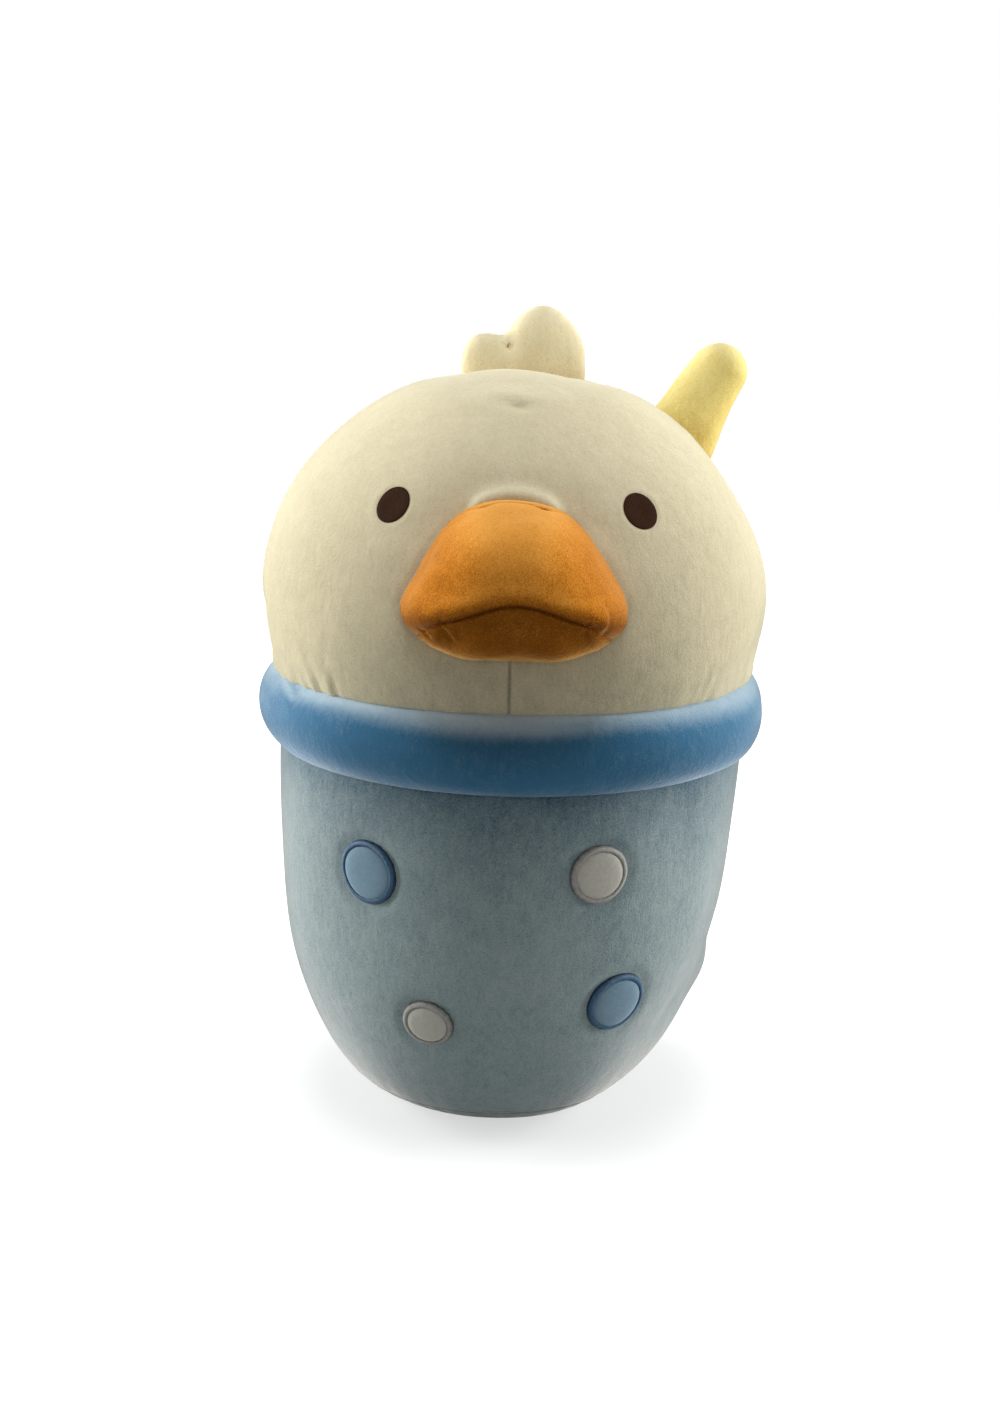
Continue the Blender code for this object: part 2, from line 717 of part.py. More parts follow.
def build_straw(profile, head_room):
    lean = Vector(STRAW_LEAN).normalized()
    out = math.hypot(STRAW_ACROSS, STRAW_BACK)
    height = dome_height(out)
    root = Vector((STRAW_ACROSS, STRAW_BACK, height))
    _, (slope_out, slope_up) = profile_slope(profile, height)
    normal = Vector((slope_out * STRAW_ACROSS / out, slope_out * STRAW_BACK / out, slope_up))
    core_radius = STRAW_RADIUS - FABRIC - SEAT_GAP
    rise = (core_radius + SEAT_GAP * 2) / normal.dot(lean)
    place = placed(root + lean * rise, lean)
    tip = STRAW_LENGTH - rise
    points = straw_profile(STRAW_RADIUS, STRAW_ROOT_RADIUS, tip, -rise - STRAW_ROOT_SINK)
    cover = add_turned("straw_cover", points, 20, cloth_yellow)
    thicken(cover, FABRIC)
    combine(cover, head_room, "DIFFERENCE")
    round_tip = np.radians(np.linspace(0, 90, 5))
    straight = tip - STRAW_RADIUS
    ends = [(core_radius * math.sin(a), straight + core_radius * math.cos(a)) for a in round_tip]
    ends += [(core_radius * math.cos(a), -core_radius * math.sin(a)) for a in round_tip]
    ends[0], ends[-1] = (0, ends[0][1]), (0, ends[-1][1])
    core = add_turned("straw_filling", ends, 20, fibre_straw)
    for piece in (cover, core):
        piece.matrix_world = place
    return place.translation


clear_scene()
duck = new_collection("plush_duck_in_cup")
cutters = new_collection("cutters")

cloth_pale_blue = new_material("cup plush", PALE_BLUE, 0.85)
cloth_base = new_material("base plush", PALE_BLUE, 0.85)
cloth_rim = new_material("rim plush", RIM_BLUE, 0.85)
cloth_cream = new_material("cream plush", CREAM, 0.85)
cloth_face = new_material("face plush", CREAM, 0.85)
cloth_tuft = new_material("tuft plush", CREAM, 0.85)
cloth_orange = new_material("bill plush", ORANGE, 0.85)
cloth_lip = new_material("lower bill plush", ORANGE, 0.85)
cloth_yellow = new_material("straw plush", STRAW_YELLOW, 0.85)
cloth_dot_blue = new_material("blue dot cloth", DOT_BLUE, 0.7)
cloth_dot_white = new_material("white dot cloth", DOT_WHITE, 0.7)
satin_blue = new_material("blue satin edge", BORDER_BLUE, 0.45)
satin_grey = new_material("grey satin edge", BORDER_GREY, 0.45)
satin_brown = new_material("eye satin", EYE_BROWN, 0.5)
thread_orange = new_material("bill thread", ORANGE, 0.6)
thread_cream = new_material("tuft thread", CREAM, 0.6)
fibre_cup = new_material("cup fibre", FIBRE, 0.95)
fibre_rim = new_material("rim fibre", FIBRE, 0.95)
fibre_head = new_material("head fibre", FIBRE, 0.95)
fibre_bill = new_material("bill fibre", FIBRE, 0.95)
fibre_tuft = new_material("tuft fibre", FIBRE, 0.95)
fibre_straw = new_material("straw fibre", FIBRE, 0.95)

cup_outline = build_cup()
build_rim()
head_outline = build_head()
head_room = head_cutter(head_outline)
build_eyes(head_outline)
build_dots(cup_outline)
bill_place = build_bill(head_outline, head_room)
build_nostrils(bill_place)
tuft_place = build_tuft(head_room)
build_tuft_stitch(tuft_place)
straw_place = build_straw(head_outline, head_room)
print("bill centre", tuple(bill_place))
print("tuft hinge", tuple(tuft_place))
print("straw hinge", tuple(straw_place))
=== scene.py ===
# A stuffed duck that fills a plush drinks cup: its cloth, stuffing and thread, and the light it stands in
import math

import bmesh
import bpy
import numpy as np
from mathutils import Matrix, Vector


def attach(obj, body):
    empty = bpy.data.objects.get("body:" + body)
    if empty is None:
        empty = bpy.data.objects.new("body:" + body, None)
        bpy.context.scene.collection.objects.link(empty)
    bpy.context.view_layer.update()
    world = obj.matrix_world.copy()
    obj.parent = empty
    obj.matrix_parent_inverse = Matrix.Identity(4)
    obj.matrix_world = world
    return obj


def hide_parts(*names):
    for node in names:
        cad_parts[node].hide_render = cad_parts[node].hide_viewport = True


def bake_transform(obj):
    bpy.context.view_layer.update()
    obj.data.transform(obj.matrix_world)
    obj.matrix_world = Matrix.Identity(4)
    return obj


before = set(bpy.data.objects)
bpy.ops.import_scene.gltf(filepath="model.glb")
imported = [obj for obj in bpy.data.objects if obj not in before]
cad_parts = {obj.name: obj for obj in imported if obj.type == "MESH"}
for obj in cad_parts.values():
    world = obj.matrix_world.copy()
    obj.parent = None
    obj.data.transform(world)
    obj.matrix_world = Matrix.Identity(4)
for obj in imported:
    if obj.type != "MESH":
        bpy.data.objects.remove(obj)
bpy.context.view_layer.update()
print("frame loaded with", len(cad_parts), "solids")

mm = 0.001
tau = 2 * math.pi

cloth = {
    "thickness": 1.8 * mm,
    "fillRoom": 3.6 * mm,  # from the outside of the cloth to the stuffing
    "stretch": 18,
    "pressure": 4,
}


# Places from low to high that crowd where the density is great: the density's running sum, turned round
def crowded(low, high, count, density):
    fine = np.linspace(low, high, 4001)
    middle = density((fine[1:] + fine[:-1]) / 2)
    total = np.concatenate([[0], np.cumsum(middle)])
    return np.interp(np.linspace(0, total[-1], count), total, fine)


# Angles once round, without the last one, crowded by a density of the angle
def roundAngles(count, density):
    return crowded(-math.pi, math.pi, count + 1, density)[:-1]


# A bell: 1 at zero, and falling to nothing at about twice the width
def bell(distance, width):
    return np.exp(-((distance / width) ** 2))


# A soft step from 0 below low to 1 above high: 3 t squared less 2 t cubed
def softStep(values, low, high):
    share = np.clip((values - low) / (high - low), 0, 1)
    return share * share * (3 - 2 * share)


# Uneven waves in -1..1: the sum of seeded sines in random directions, about one wave to each scale
def waves(points, scale, seed, count=7):
    chance = np.random.default_rng(seed)
    directions = chance.normal(size=(count, points.shape[-1]))
    directions /= np.linalg.norm(directions, axis=1)[:, None]
    lengths = scale * chance.uniform(0.7, 1.5, count)
    phases = chance.uniform(0, tau, count)
    return np.sin(points @ (directions / lengths[:, None]).T * tau + phases).sum(-1) / math.sqrt(count)


# The height of a fold between two places: a bell across it, let down towards both of its ends
def fold(points, start, end, width, height):
    start, end = np.array(start) * mm, np.array(end) * mm
    along = end - start
    share = np.clip((points - start) @ along / (along @ along), 0, 1)
    away = np.linalg.norm(points - (start + share[..., None] * along), axis=-1)
    return height * np.sqrt(np.sin(math.pi * share).clip(0)) * bell(away, width)


# A broad swelling about a place, or a dent where the height is less than nothing: all three in mm
def swelling(points, place, width, height):
    return height * mm * bell(np.linalg.norm(points - np.array(place) * mm, axis=-1), width * mm)


# Folds added up, each with its start, its end, its width and its height in mm
def folds(points, rows):
    return sum(fold(points, start, end, width * mm, height * mm) for start, end, width, height in rows)


# Broad swellings and dents added up
def swellings(points, rows):
    return sum(swelling(points, *row) for row in rows)


# A profile of radius and height walked in even steps, its corners eased by a running mean. Beyond an end on
# the axis the profile goes on mirrored, and beyond an open end it goes on straight
def easedProfile(profile, step, window, onAxis):
    profile = np.asarray(profile)
    length = np.concatenate([[0], np.cumsum(np.linalg.norm(np.diff(profile, axis=0), axis=1))])
    even = np.linspace(0, length[-1], int(length[-1] / step))
    points = np.stack([np.interp(even, length, profile[:, k]) for k in (0, 1)], axis=1)
    half = max(int(window / step / 2), 1)
    start, end = points[half:0:-1], points[-2 : -half - 2 : -1]
    before = start * (-1, 1) if onAxis[0] else 2 * points[0] - start
    after = end * (-1, 1) if onAxis[1] else 2 * points[-1] - end
    padded = np.concatenate([before, points, after])
    weights = np.ones(2 * half + 1) / (2 * half + 1)
    return np.stack([np.convolve(padded[:, k], weights, "valid") for k in (0, 1)], axis=1)


# A profile turned about Z: the angle starts at the front, where -Y is, and goes towards +X
def turned(profile, angles):
    radius, height = profile[:, :1], profile[:, 1:]
    across = radius * np.sin(angles)
    back = -radius * np.cos(angles)
    return np.stack([across, back, np.broadcast_to(height, across.shape)], axis=-1)


# Places on a profile at shares of its length
def profileAt(profile, shares):
    steps = np.linspace(0, 1, len(profile))
    return np.stack([np.interp(shares, steps, profile[:, k]) for k in (0, 1)], axis=1)


# The place on a turned profile nearest to a height, at a turn in degrees, and the outward direction there
def placeOn(profile, height, turn):
    row = np.argmin(np.abs(profile[:, 1] - height))
    slope = profile[row + 4] - profile[row - 4]
    angle = math.radians(turn)
    outward = np.array([math.sin(angle), -math.cos(angle), 0])
    normal = outward * -slope[1] + np.array([0, 0, slope[0]])
    return outward * profile[row][0] + np.array([0, 0, profile[row][1]]), Vector(normal).normalized()


# The coarse grid that the simulation moves, turned from a profile, and which points are pinned: none so far
def coarseBag(profile, rows, columns):
    points = turned(profileAt(profile, np.linspace(0, 1, rows)), roundAngles(columns, np.ones_like))
    return points, np.zeros((rows, columns), bool)


# Outward normals of a grid: the cross product of its steps round and down, turned to enclose a volume
def gridNormals(points):
    down = np.gradient(points, axis=0)
    across = np.roll(points, -1, axis=1) - np.roll(points, 1, axis=1)
    normals = np.cross(across, down)
    centre = points.mean(axis=(0, 1))
    if (normals * (points - centre)).sum() < 0:
        normals = -normals
    length = np.linalg.norm(normals, axis=-1)
    thin = length < 1e-12
    normals /= np.where(thin, 1, length)[..., None]
    for end, beside in ((0, 1), (-1, -2)):
        if thin[end].any():
            pole = normals[beside].mean(axis=0)
            normals[end] = pole / np.linalg.norm(pole)
    return normals


# A grid moved outwards by a relief
def raisedBy(points, relief):
    return points + gridNormals(points) * relief[..., None]


# A grid moved inwards, to where the stuffing begins
def insideOf(points, room=cloth["fillRoom"]):
    return points - gridNormals(points) * room


# A row of a grid drawn in to its middle, which closes the grid there
def lid(row):
    return np.broadcast_to(row.mean(axis=1, keepdims=True), row.shape)


# A smooth grid between the points of a coarse one: cubic weights of the four nearest along one axis
def between(values, places, axis, wraps):
    count = values.shape[axis]
    first = np.floor(places).astype(int)
    t = places - first
    weights = (
        (-t + 2 * t**2 - t**3) / 2,
        (2 - 5 * t**2 + 3 * t**3) / 2,
        (t + 4 * t**2 - 3 * t**3) / 2,
        (-(t**2) + t**3) / 2,
    )
    shape = [1] * values.ndim
    shape[axis] = len(places)
    total = 0
    for offset, weight in zip((-1, 0, 1, 2), weights):
        index = first + offset
        index = index % count if wraps else np.clip(index, 0, count - 1)
        total = total + np.take(values, index, axis=axis) * weight.reshape(shape)
    return total


# A mesh from a grid of points: quads between rows and columns, and triangles at a row that is one pole.
# The UV map has the share round in U and the share down in V. Gives the object and each point's vertex
def gridPiece(name, points, poles=(False, False), wraps=True, rowsWrap=False):
    rows, columns = points.shape[:2]
    index = np.arange(rows * columns).reshape(rows, columns)
    keep = np.ones(rows * columns, bool)
    for row, isPole in ((0, poles[0]), (rows - 1, poles[1])):
        if isPole:
            index[row] = row * columns
            keep[row * columns + 1 : (row + 1) * columns] = False
    index = (np.cumsum(keep) - 1)[index]
    coords = points.reshape(-1, 3)[keep]
    tall = np.vstack([index, index[:1]]) if rowsWrap else index
    wide = np.hstack([tall, tall[:, :1]]) if wraps else tall
    quads = np.stack([wide[:-1, :-1], wide[:-1, 1:], wide[1:, 1:], wide[1:, :-1]], axis=-1)
    u = np.arange(wide.shape[1]) / (wide.shape[1] - 1)
    v = np.arange(wide.shape[0]) / (wide.shape[0] - 1)
    flat = np.stack(np.broadcast_arrays(u[None, :], v[:, None]), axis=-1)
    maps = np.stack([flat[:-1, :-1], flat[:-1, 1:], flat[1:, 1:], flat[1:, :-1]], axis=-2)
    parts = []
    first, last = int(poles[0]), quads.shape[0] - int(poles[1])
    if poles[0]:
        parts.append((quads[0][:, [0, 2, 3]], maps[0][:, [0, 2, 3]]))
    parts.append((quads[first:last].reshape(-1, 4), maps[first:last].reshape(-1, 4, 2)))
    if poles[1]:
        parts.append((quads[-1][:, [0, 1, 2]], maps[-1][:, [0, 1, 2]]))
    corners = coords[quads[first:last].reshape(-1, 4)]
    centre = coords.mean(axis=0)
    areas = np.cross(corners[:, 2] - corners[:, 0], corners[:, 3] - corners[:, 1])
    if ((corners.mean(axis=1) - centre) * areas).sum() < 0:
        parts = [(faces[:, ::-1], places[:, ::-1]) for faces, places in parts]
    data = bpy.data.meshes.new(name)
    data.from_pydata(coords, [], [face for faces, _ in parts for face in faces.tolist()])
    layer = data.uv_layers.new(name="threads")
    layer.data.foreach_set("uv", np.concatenate([places.ravel() for _, places in parts]))
    data.shade_smooth()
    data.update()
    obj = bpy.data.objects.new(name, data)
    bpy.context.scene.collection.objects.link(obj)
    return obj, index


def coordsOf(data):
    coords = np.empty(len(data.vertices) * 3)
    data.vertices.foreach_get("co", coords)
    return coords.reshape(-1, 3)


def setCoords(data, coords):
    data.vertices.foreach_set("co", np.ascontiguousarray(coords).ravel())
    data.update()


# The modifiers made part of the mesh
def settle(obj):
    graph = bpy.context.evaluated_depsgraph_get()
    done = bpy.data.meshes.new_from_object(obj.evaluated_get(graph))
    before = obj.data
    obj.modifiers.clear()
    obj.data = done
    bpy.data.meshes.remove(before)
    done.name = obj.name
    return obj


# Pressure inside the cloth swells it between its pinned seams, as stuffing does. Gives how far each point of
# the grid moved, eased by a tanh so that no point passes the cap
def swell(name, points, pinned, sim, poles=(False, False)):
    obj, index = gridPiece(name, points, poles)
    seams = obj.vertex_groups.new(name="seams")
    seams.add(np.unique(index[pinned]).tolist(), 1, "REPLACE")
    modifier = obj.modifiers.new("Swelling", "CLOTH")
    settings = modifier.settings
    settings.quality = 6
    settings.mass = 0.3
    settings.tension_stiffness = cloth["stretch"]
    settings.compression_stiffness = cloth["stretch"]
    settings.shear_stiffness = cloth["stretch"] / 3
    settings.bending_stiffness = sim["bending"]
    settings.shrink_min = -sim["slack"]
    settings.use_pressure = True
    settings.uniform_pressure_force = cloth["pressure"]
    settings.vertex_group_mass = "seams"
    settings.effector_weights.gravity = 0
    modifier.collision_settings.use_collision = False
    modifier.point_cache.frame_start = 1
    modifier.point_cache.frame_end = sim["frames"]
    scene = bpy.context.scene
    for number in range(1, sim["frames"] + 1):
        scene.frame_set(number)
    graph = bpy.context.evaluated_depsgraph_get()
    moved = coordsOf(obj.evaluated_get(graph).data) - coordsOf(obj.data)
    scene.frame_set(1)
    bpy.data.objects.remove(obj, do_unlink=True)
    length = np.linalg.norm(moved, axis=1)
    eased = sim["cap"] * np.tanh(length / sim["cap"]) / np.maximum(length, 1e-9)
    furthest = [round(values.max() / mm, 1) for values in (length, length * eased)]
    print("swelled", name, "by up to", furthest[0], "mm, eased to", furthest[1])
    return evened((moved * eased[:, None])[index], poles)


# A grid's movement evened out: each point blended with its neighbours, and near a pole with all of its ring
def evened(movement, poles):
    rows = np.arange(len(movement))
    for _ in range(2):
        movement = movement / 2 + (np.roll(movement, 1, axis=1) + np.roll(movement, -1, axis=1)) / 4
        movement[1:-1] = movement[1:-1] / 2 + (movement[:-2] + movement[2:]) / 4
    for fromPole, isPole in ((rows, poles[0]), (rows[::-1], poles[1])):
        if isPole:
            own = softStep(fromPole, 0, 8)[:, None, None]
            movement = movement * own + movement.mean(axis=1, keepdims=True) * (1 - own)
    return movement


# The coarse grid's movement carried to the fine grid, whose rows and columns are at these shares of the whole
def carried(movement, rowShares, columnShares):
    rows, columns = movement.shape[:2]
    return between(between(movement, rowShares * (rows - 1), 0, False), columnShares * columns, 1, True)


# A piece cut away on the side that the normal points to
def cutAway(obj, point, normal):
    shape = bmesh.new()
    shape.from_mesh(obj.data)
    everything = shape.verts[:] + shape.edges[:] + shape.faces[:]
    bmesh.ops.bisect_plane(shape, geom=everything, plane_co=point, plane_no=normal, clear_outer=True)
    shape.to_mesh(obj.data)
    shape.free()
    return obj


def copyOf(obj, name):
    twin = obj.copy()
    twin.data = obj.data.copy()
    twin.name = twin.data.name = name
    bpy.context.scene.collection.objects.link(twin)
    return twin


# A bag cut in two at a plane: it keeps what lies behind, and a copy with the new name gets the rest
def cutInTwo(bag, name, point, normal):
    other = copyOf(bag, name)
    cutAway(bag, point, normal)
    return cutAway(other, point, [-part for part in normal])


# Cloth given its thickness inwards
def clothWall(obj):
    wall = obj.modifiers.new("Thickness", "SOLIDIFY")
    wall.thickness = cloth["thickness"]
    wall.offset = -1
    return settle(obj)


# A bag of cloth from a grid. For the material it keeps each vertex's painted shade, deepest in seams and folds,
# and its painted light, which is how far it faces upwards if nothing else is given
def clothBag(name, points, creaseAndPaintedShade, poles=(False, False), napAndPaintedLight=None):
    obj, index = gridPiece(name, points, poles)
    napAndPaintedLight = gridNormals(points)[..., 2] if napAndPaintedLight is None else napAndPaintedLight
    for title, values in (("creaseAndPaintedShade", creaseAndPaintedShade.clip(0, 1)), ("napAndPaintedLight", napAndPaintedLight)):
        flat = np.zeros(len(obj.data.vertices), np.float32)
        flat[index] = values
        obj.data.attributes.new(title, "FLOAT", "POINT").data.foreach_set("value", flat)
    return obj


# A piece finished: its material, the body that it rides on and the solid that it stands for, which is hidden
def dress(obj, look, body, replaced):
    obj.data.materials.clear()
    obj.data.materials.append(look)
    if body:
        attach(obj, body)
    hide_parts(replaced)
    return obj


# A soft piece finished. One that bends is put on no body, and its place is made part of its mesh
def softPiece(obj, look, solid, bend=None):
    dress(obj, looks[look], None if bend else "toy", solid)
    if bend:
        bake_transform(obj)


def clothPanel(obj, look, solid, bend=None):
    softPiece(clothWall(obj), look, solid, bend)


def stuffing(name, points, solid, bend=None, poles=(True, True), rowsWrap=False):
    softPiece(gridPiece(name, points, poles, rowsWrap=rowsWrap)[0], "fibre", solid, bend)


# A shader node with its settings, and its sockets either set or linked
def shaderNode(tree, kind, inputs=(), **settings):
    made = tree.nodes.new("ShaderNode" + kind)
    for key, value in settings.items():
        setattr(made, key, value)
    for key, value in dict(inputs).items():
        if isinstance(value, bpy.types.NodeSocket):
            tree.links.new(value, made.inputs[key])
        else:
            made.inputs[key].default_value = value
    return made


def linear(colour):
    shares = [value / 255 for value in colour]
    return [c / 12.92 if c <= 0.04045 else ((c + 0.055) / 1.055) ** 2.4 for c in shares] + [1]


# Arithmetic on sockets or numbers
def sums(tree, operation, first, second, third=0.0):
    return shaderNode(tree, "Math", {0: first, 1: second, 2: third}, operation=operation).outputs[0]


def blankLook(name, roughness, sheen, specular=0.0):
    made = bpy.data.materials.new(name)
    made.use_nodes = True
    shader = made.node_tree.nodes["Principled BSDF"]
    shader.inputs["Roughness"].default_value = roughness
    shader.inputs["Specular IOR Level"].default_value = specular
    shader.inputs["Sheen Weight"].default_value = sheen[0]
    shader.inputs["Sheen Roughness"].default_value = sheen[1]
    shader.inputs["Sheen Tint"].default_value = linear(sheen[2])
    return made, made.node_tree, shader


def noise(tree, place, scale, detail, **more):
    inputs = {"Vector": place, "Scale": scale, "Detail": detail, **more}
    return shaderNode(tree, "TexNoise", inputs).outputs["Fac"]


# The tone made the base colour: the first colour at 0, the last at 1, and a third between if there is one
def colourBy(tree, shader, tone, colours):
    ramp = shaderNode(tree, "ValToRGB", {"Fac": tone})
    elements = ramp.color_ramp.elements
    elements[0].color = linear(colours[0])
    elements[1].color = linear(colours[-1])
    for colour in colours[1:-1]:
        elements.new(0.5).color = linear(colour)
    tree.links.new(ramp.outputs["Color"], shader.inputs["Base Color"])


# Fine relief in the material, over the one that it is given
def bumpBy(tree, shader, height, strength, distance, **under):
    inputs = {"Height": height, "Strength": strength, "Distance": distance, **under}
    bump = shaderNode(tree, "Bump", inputs).outputs[0]
    tree.links.new(bump, shader.inputs["Normal"])
    return bump


# Short-pile plush: fine pile, brushed streaks and broad patches where the nap lies over, with painted shade
# that darkens the folds and seams, and painted light that lightens the upper sides
def plushLook(name, colours, sheen, napAndPaintedLight, pile=0.8, streaks=0.3, brushed=0.35, patches=0.2):
    made, tree, shader = blankLook(name, 0.9, sheen)
    place = shaderNode(tree, "TexCoord").outputs["Object"]
    stretched = shaderNode(tree, "Mapping", {"Vector": place, "Scale": (1, 1, 0.35)}).outputs[0]
    hairs = noise(tree, place, 1500, 3, Roughness=0.65)
    strokes = noise(tree, stretched, 420, 4, Roughness=0.6)
    brushes = noise(tree, place, 95, 5, Roughness=0.62, Distortion=0.6)
    tone = sums(tree, "MULTIPLY_ADD", hairs, pile, 0.5 - pile / 2)
    for part, amount in ((strokes, streaks), (brushes, brushed), (noise(tree, place, 16, 2), patches)):
        tone = sums(tree, "MULTIPLY_ADD", part, amount, sums(tree, "SUBTRACT", tone, amount / 2))
    # the first darkens the tone with painted shade, the second lightens it with painted light
    for title, amount in (("creaseAndPaintedShade", -0.9), ("napAndPaintedLight", napAndPaintedLight)):
        part = shaderNode(tree, "Attribute", attribute_name=title).outputs["Fac"]
        tone = sums(tree, "MULTIPLY_ADD", part, amount, tone)
    colourBy(tree, shader, tone, colours)
    tree.links.new(sums(tree, "MULTIPLY_ADD", brushes, 0.2, 0.78), shader.inputs["Roughness"])
    fine = bumpBy(tree, shader, sums(tree, "MULTIPLY_ADD", strokes, 1.2, hairs), 0.55, 0.35 * mm)
    bumpBy(tree, shader, brushes, 0.32, 1.1 * mm, Normal=fine)
    return made


# Satin stitch: threads side by side along the UV map's V, each a round ridge, with a soft lustre. A border gets
# painted shade along both of its sides, where its threads go down into the cloth, and a painted highlight along
# its crest
def satinLook(name, colours, sheen, threads, paintedShadeAndHighlight=0):
    made, tree, shader = blankLook(name, 0.42, sheen, 0.2)
    place = shaderNode(tree, "TexCoord").outputs["Object"]
    apart = shaderNode(tree, "SeparateXYZ", {0: shaderNode(tree, "TexCoord").outputs["UV"]}).outputs
    wobble = sums(tree, "MULTIPLY", noise(tree, place, 260, 2), 2.2)
    turns = sums(tree, "MULTIPLY_ADD", apart[0], threads * tau, wobble)
    ridge = sums(tree, "MULTIPLY_ADD", sums(tree, "SINE", turns, 0), 0.5, 0.5)
    shades = noise(tree, place, 700, 3)
    arch = sums(tree, "MAXIMUM", sums(tree, "SINE", sums(tree, "MULTIPLY", apart[1], tau), 0), 0)
    tone = sums(tree, "MULTIPLY_ADD", ridge, 0.3, sums(tree, "MULTIPLY_ADD", shades, 0.5, 0.05 - paintedShadeAndHighlight))
    tone = sums(tree, "MULTIPLY_ADD", sums(tree, "POWER", arch, 1.5), 1.4 * paintedShadeAndHighlight, tone)
    colourBy(tree, shader, tone, colours)
    tree.links.new(sums(tree, "MULTIPLY_ADD", shades, 0.25, 0.32), shader.inputs["Roughness"])
    bumpBy(tree, shader, ridge, 0.6, 0.2 * mm)
    return made


# Rows of stitches laid along one direction, for the eyes, or a close smooth cloth, for the dots
def stitchedLook(name, colours, sheen, roughness=0.7, lie=1.2, rows=260, rowTone=0.04, ridge=0.1):
    made, tree, shader = blankLook(name, roughness, sheen, 0.05)
    place = shaderNode(tree, "TexCoord").outputs["Object"]
    laid = shaderNode(tree, "Mapping", {"Vector": place, "Rotation": (0, lie, 0)}).outputs[0]
    settings = {"Vector": laid, "Scale": rows, "Distortion": 3.5, "Detail": 2, "Detail Scale": 1.6}
    stitches = shaderNode(tree, "TexWave", settings, bands_direction="X").outputs["Fac"]
    napAndPaintedLight = noise(tree, place, 650, 4, Roughness=0.65)
    tone = sums(tree, "MULTIPLY_ADD", stitches, rowTone, sums(tree, "MULTIPLY_ADD", napAndPaintedLight, 0.6, 0.05))
    tone = sums(tree, "MULTIPLY_ADD", noise(tree, place, 140, 3), 0.3, sums(tree, "SUBTRACT", tone, 0.08))
    colourBy(tree, shader, tone, colours)
    bumpBy(tree, shader, sums(tree, "MULTIPLY_ADD", stitches, ridge, napAndPaintedLight), 0.5, 0.25 * mm)
    return made


# Loose white fibre, seen only where the cloth is opened
def fibreLook(name):
    made, tree, shader = blankLook(name, 0.95, (0.4, 0.5, (255, 255, 255)))
    strands = noise(tree, shaderNode(tree, "TexCoord").outputs["Object"], 380, 6, Distortion=2.4)
    colourBy(tree, shader, strands, ((205, 205, 202), (245, 245, 243)))
    bumpBy(tree, shader, strands, 0.8, 1.2 * mm)
    return made


# Colours go from the deepest to the lightest, and a sheen is a weight, a roughness and a tint. Painted shade
# pulls a tone towards the deepest colour and painted light towards the lightest
looks = {
    # painted shade: the deepest colour is bluish, for the shade under the blue rim
    "cup": plushLook(
        "cup plush", ((72, 102, 118), (152, 169, 170), (196, 206, 203)), (1.0, 0.36, (255, 248, 240)),
        napAndPaintedLight=0.1, pile=0.9, brushed=0.3, patches=0.25,
    ),
    # painted highlight: the rim's pale lightest colour, brought out by its painted light, is the bright band
    # along its top
    "rim": plushLook(
        "rim plush", ((42, 88, 122), (62, 114, 148), (214, 234, 244)), (1.0, 0.36, (225, 238, 248)),
        napAndPaintedLight=0.85, pile=0.15, streaks=0.08, brushed=0.1, patches=0.08,
    ),
    "head": plushLook(
        "cream plush", ((152, 148, 130), (206, 196, 163), (232, 222, 190)), (0.6, 0.36, (255, 253, 228)),
        napAndPaintedLight=0.25,
    ),
    # painted light: the head's cream painted lighter, as if the tuft caught more light
    "tuft": plushLook(
        "cream plush", ((214, 184, 132), (242, 230, 190), (250, 244, 216)), (0.6, 0.36, (255, 250, 220)),
        napAndPaintedLight=0.1,
    ),
    "bill": plushLook(
        "orange plush", ((116, 62, 12), (192, 118, 34), (230, 160, 70)), (0.5, 0.34, (255, 210, 150)),
        napAndPaintedLight=0.5, pile=1.3, streaks=0.2, brushed=0.4, patches=0.25,
    ),
    # painted shade: the bill's orange painted darker for the lower panel, which lies in shade
    "lip": plushLook(
        "orange plush", ((96, 50, 10), (148, 88, 24), (196, 132, 58)), (0.9, 0.28, (255, 200, 120)),
        napAndPaintedLight=0.2, pile=1.3, streaks=0.2, brushed=0.45, patches=0.25,
    ),
    "straw": plushLook(
        "yellow plush", ((186, 152, 70), (234, 214, 132), (250, 240, 184)), (0.5, 0.34, (255, 245, 195)),
        napAndPaintedLight=0.3,
    ),
    "blueDot": stitchedLook(
        "blue dot cloth", ((104, 132, 150), (148, 178, 194)), (0.8, 0.35, (235, 245, 255)),
    ),
    "whiteDot": stitchedLook(
        "white dot cloth", ((170, 168, 157), (228, 226, 214)), (0.6, 0.35, (250, 250, 245)),
    ),
    "eye": stitchedLook(
        "brown eye stitches", ((35, 18, 8), (62, 38, 21)), (0.01, 0.35, (220, 170, 120)),
        roughness=0.75, lie=0.25, rows=420, rowTone=0.25, ridge=1.2,
    ),
    "blueEdge": satinLook(
        "blue satin stitch", ((14, 36, 58), (88, 130, 164)), (0.15, 0.3, (200, 225, 250)),
        threads=230, paintedShadeAndHighlight=0.4,
    ),
    "greyEdge": satinLook(
        "grey satin stitch", ((62, 64, 64), (214, 212, 204)), (0.15, 0.3, (250, 250, 250)),
        threads=200, paintedShadeAndHighlight=0.35,
    ),
    # painted shade: the tacks are darker than the bill, for the shade in the nostril pits
    "shadedBillThread": satinLook(
        "orange thread", ((70, 34, 6), (132, 76, 22)), (0.1, 0.3, (255, 220, 160)), threads=6,
    ),
    "creamThread": satinLook(
        "cream thread", ((150, 134, 98), (214, 202, 170)), (0.1, 0.3, (255, 250, 235)), threads=6,
    ),
    "fibre": fibreLook("stuffing"),
}
print("materials made:", len(looks))


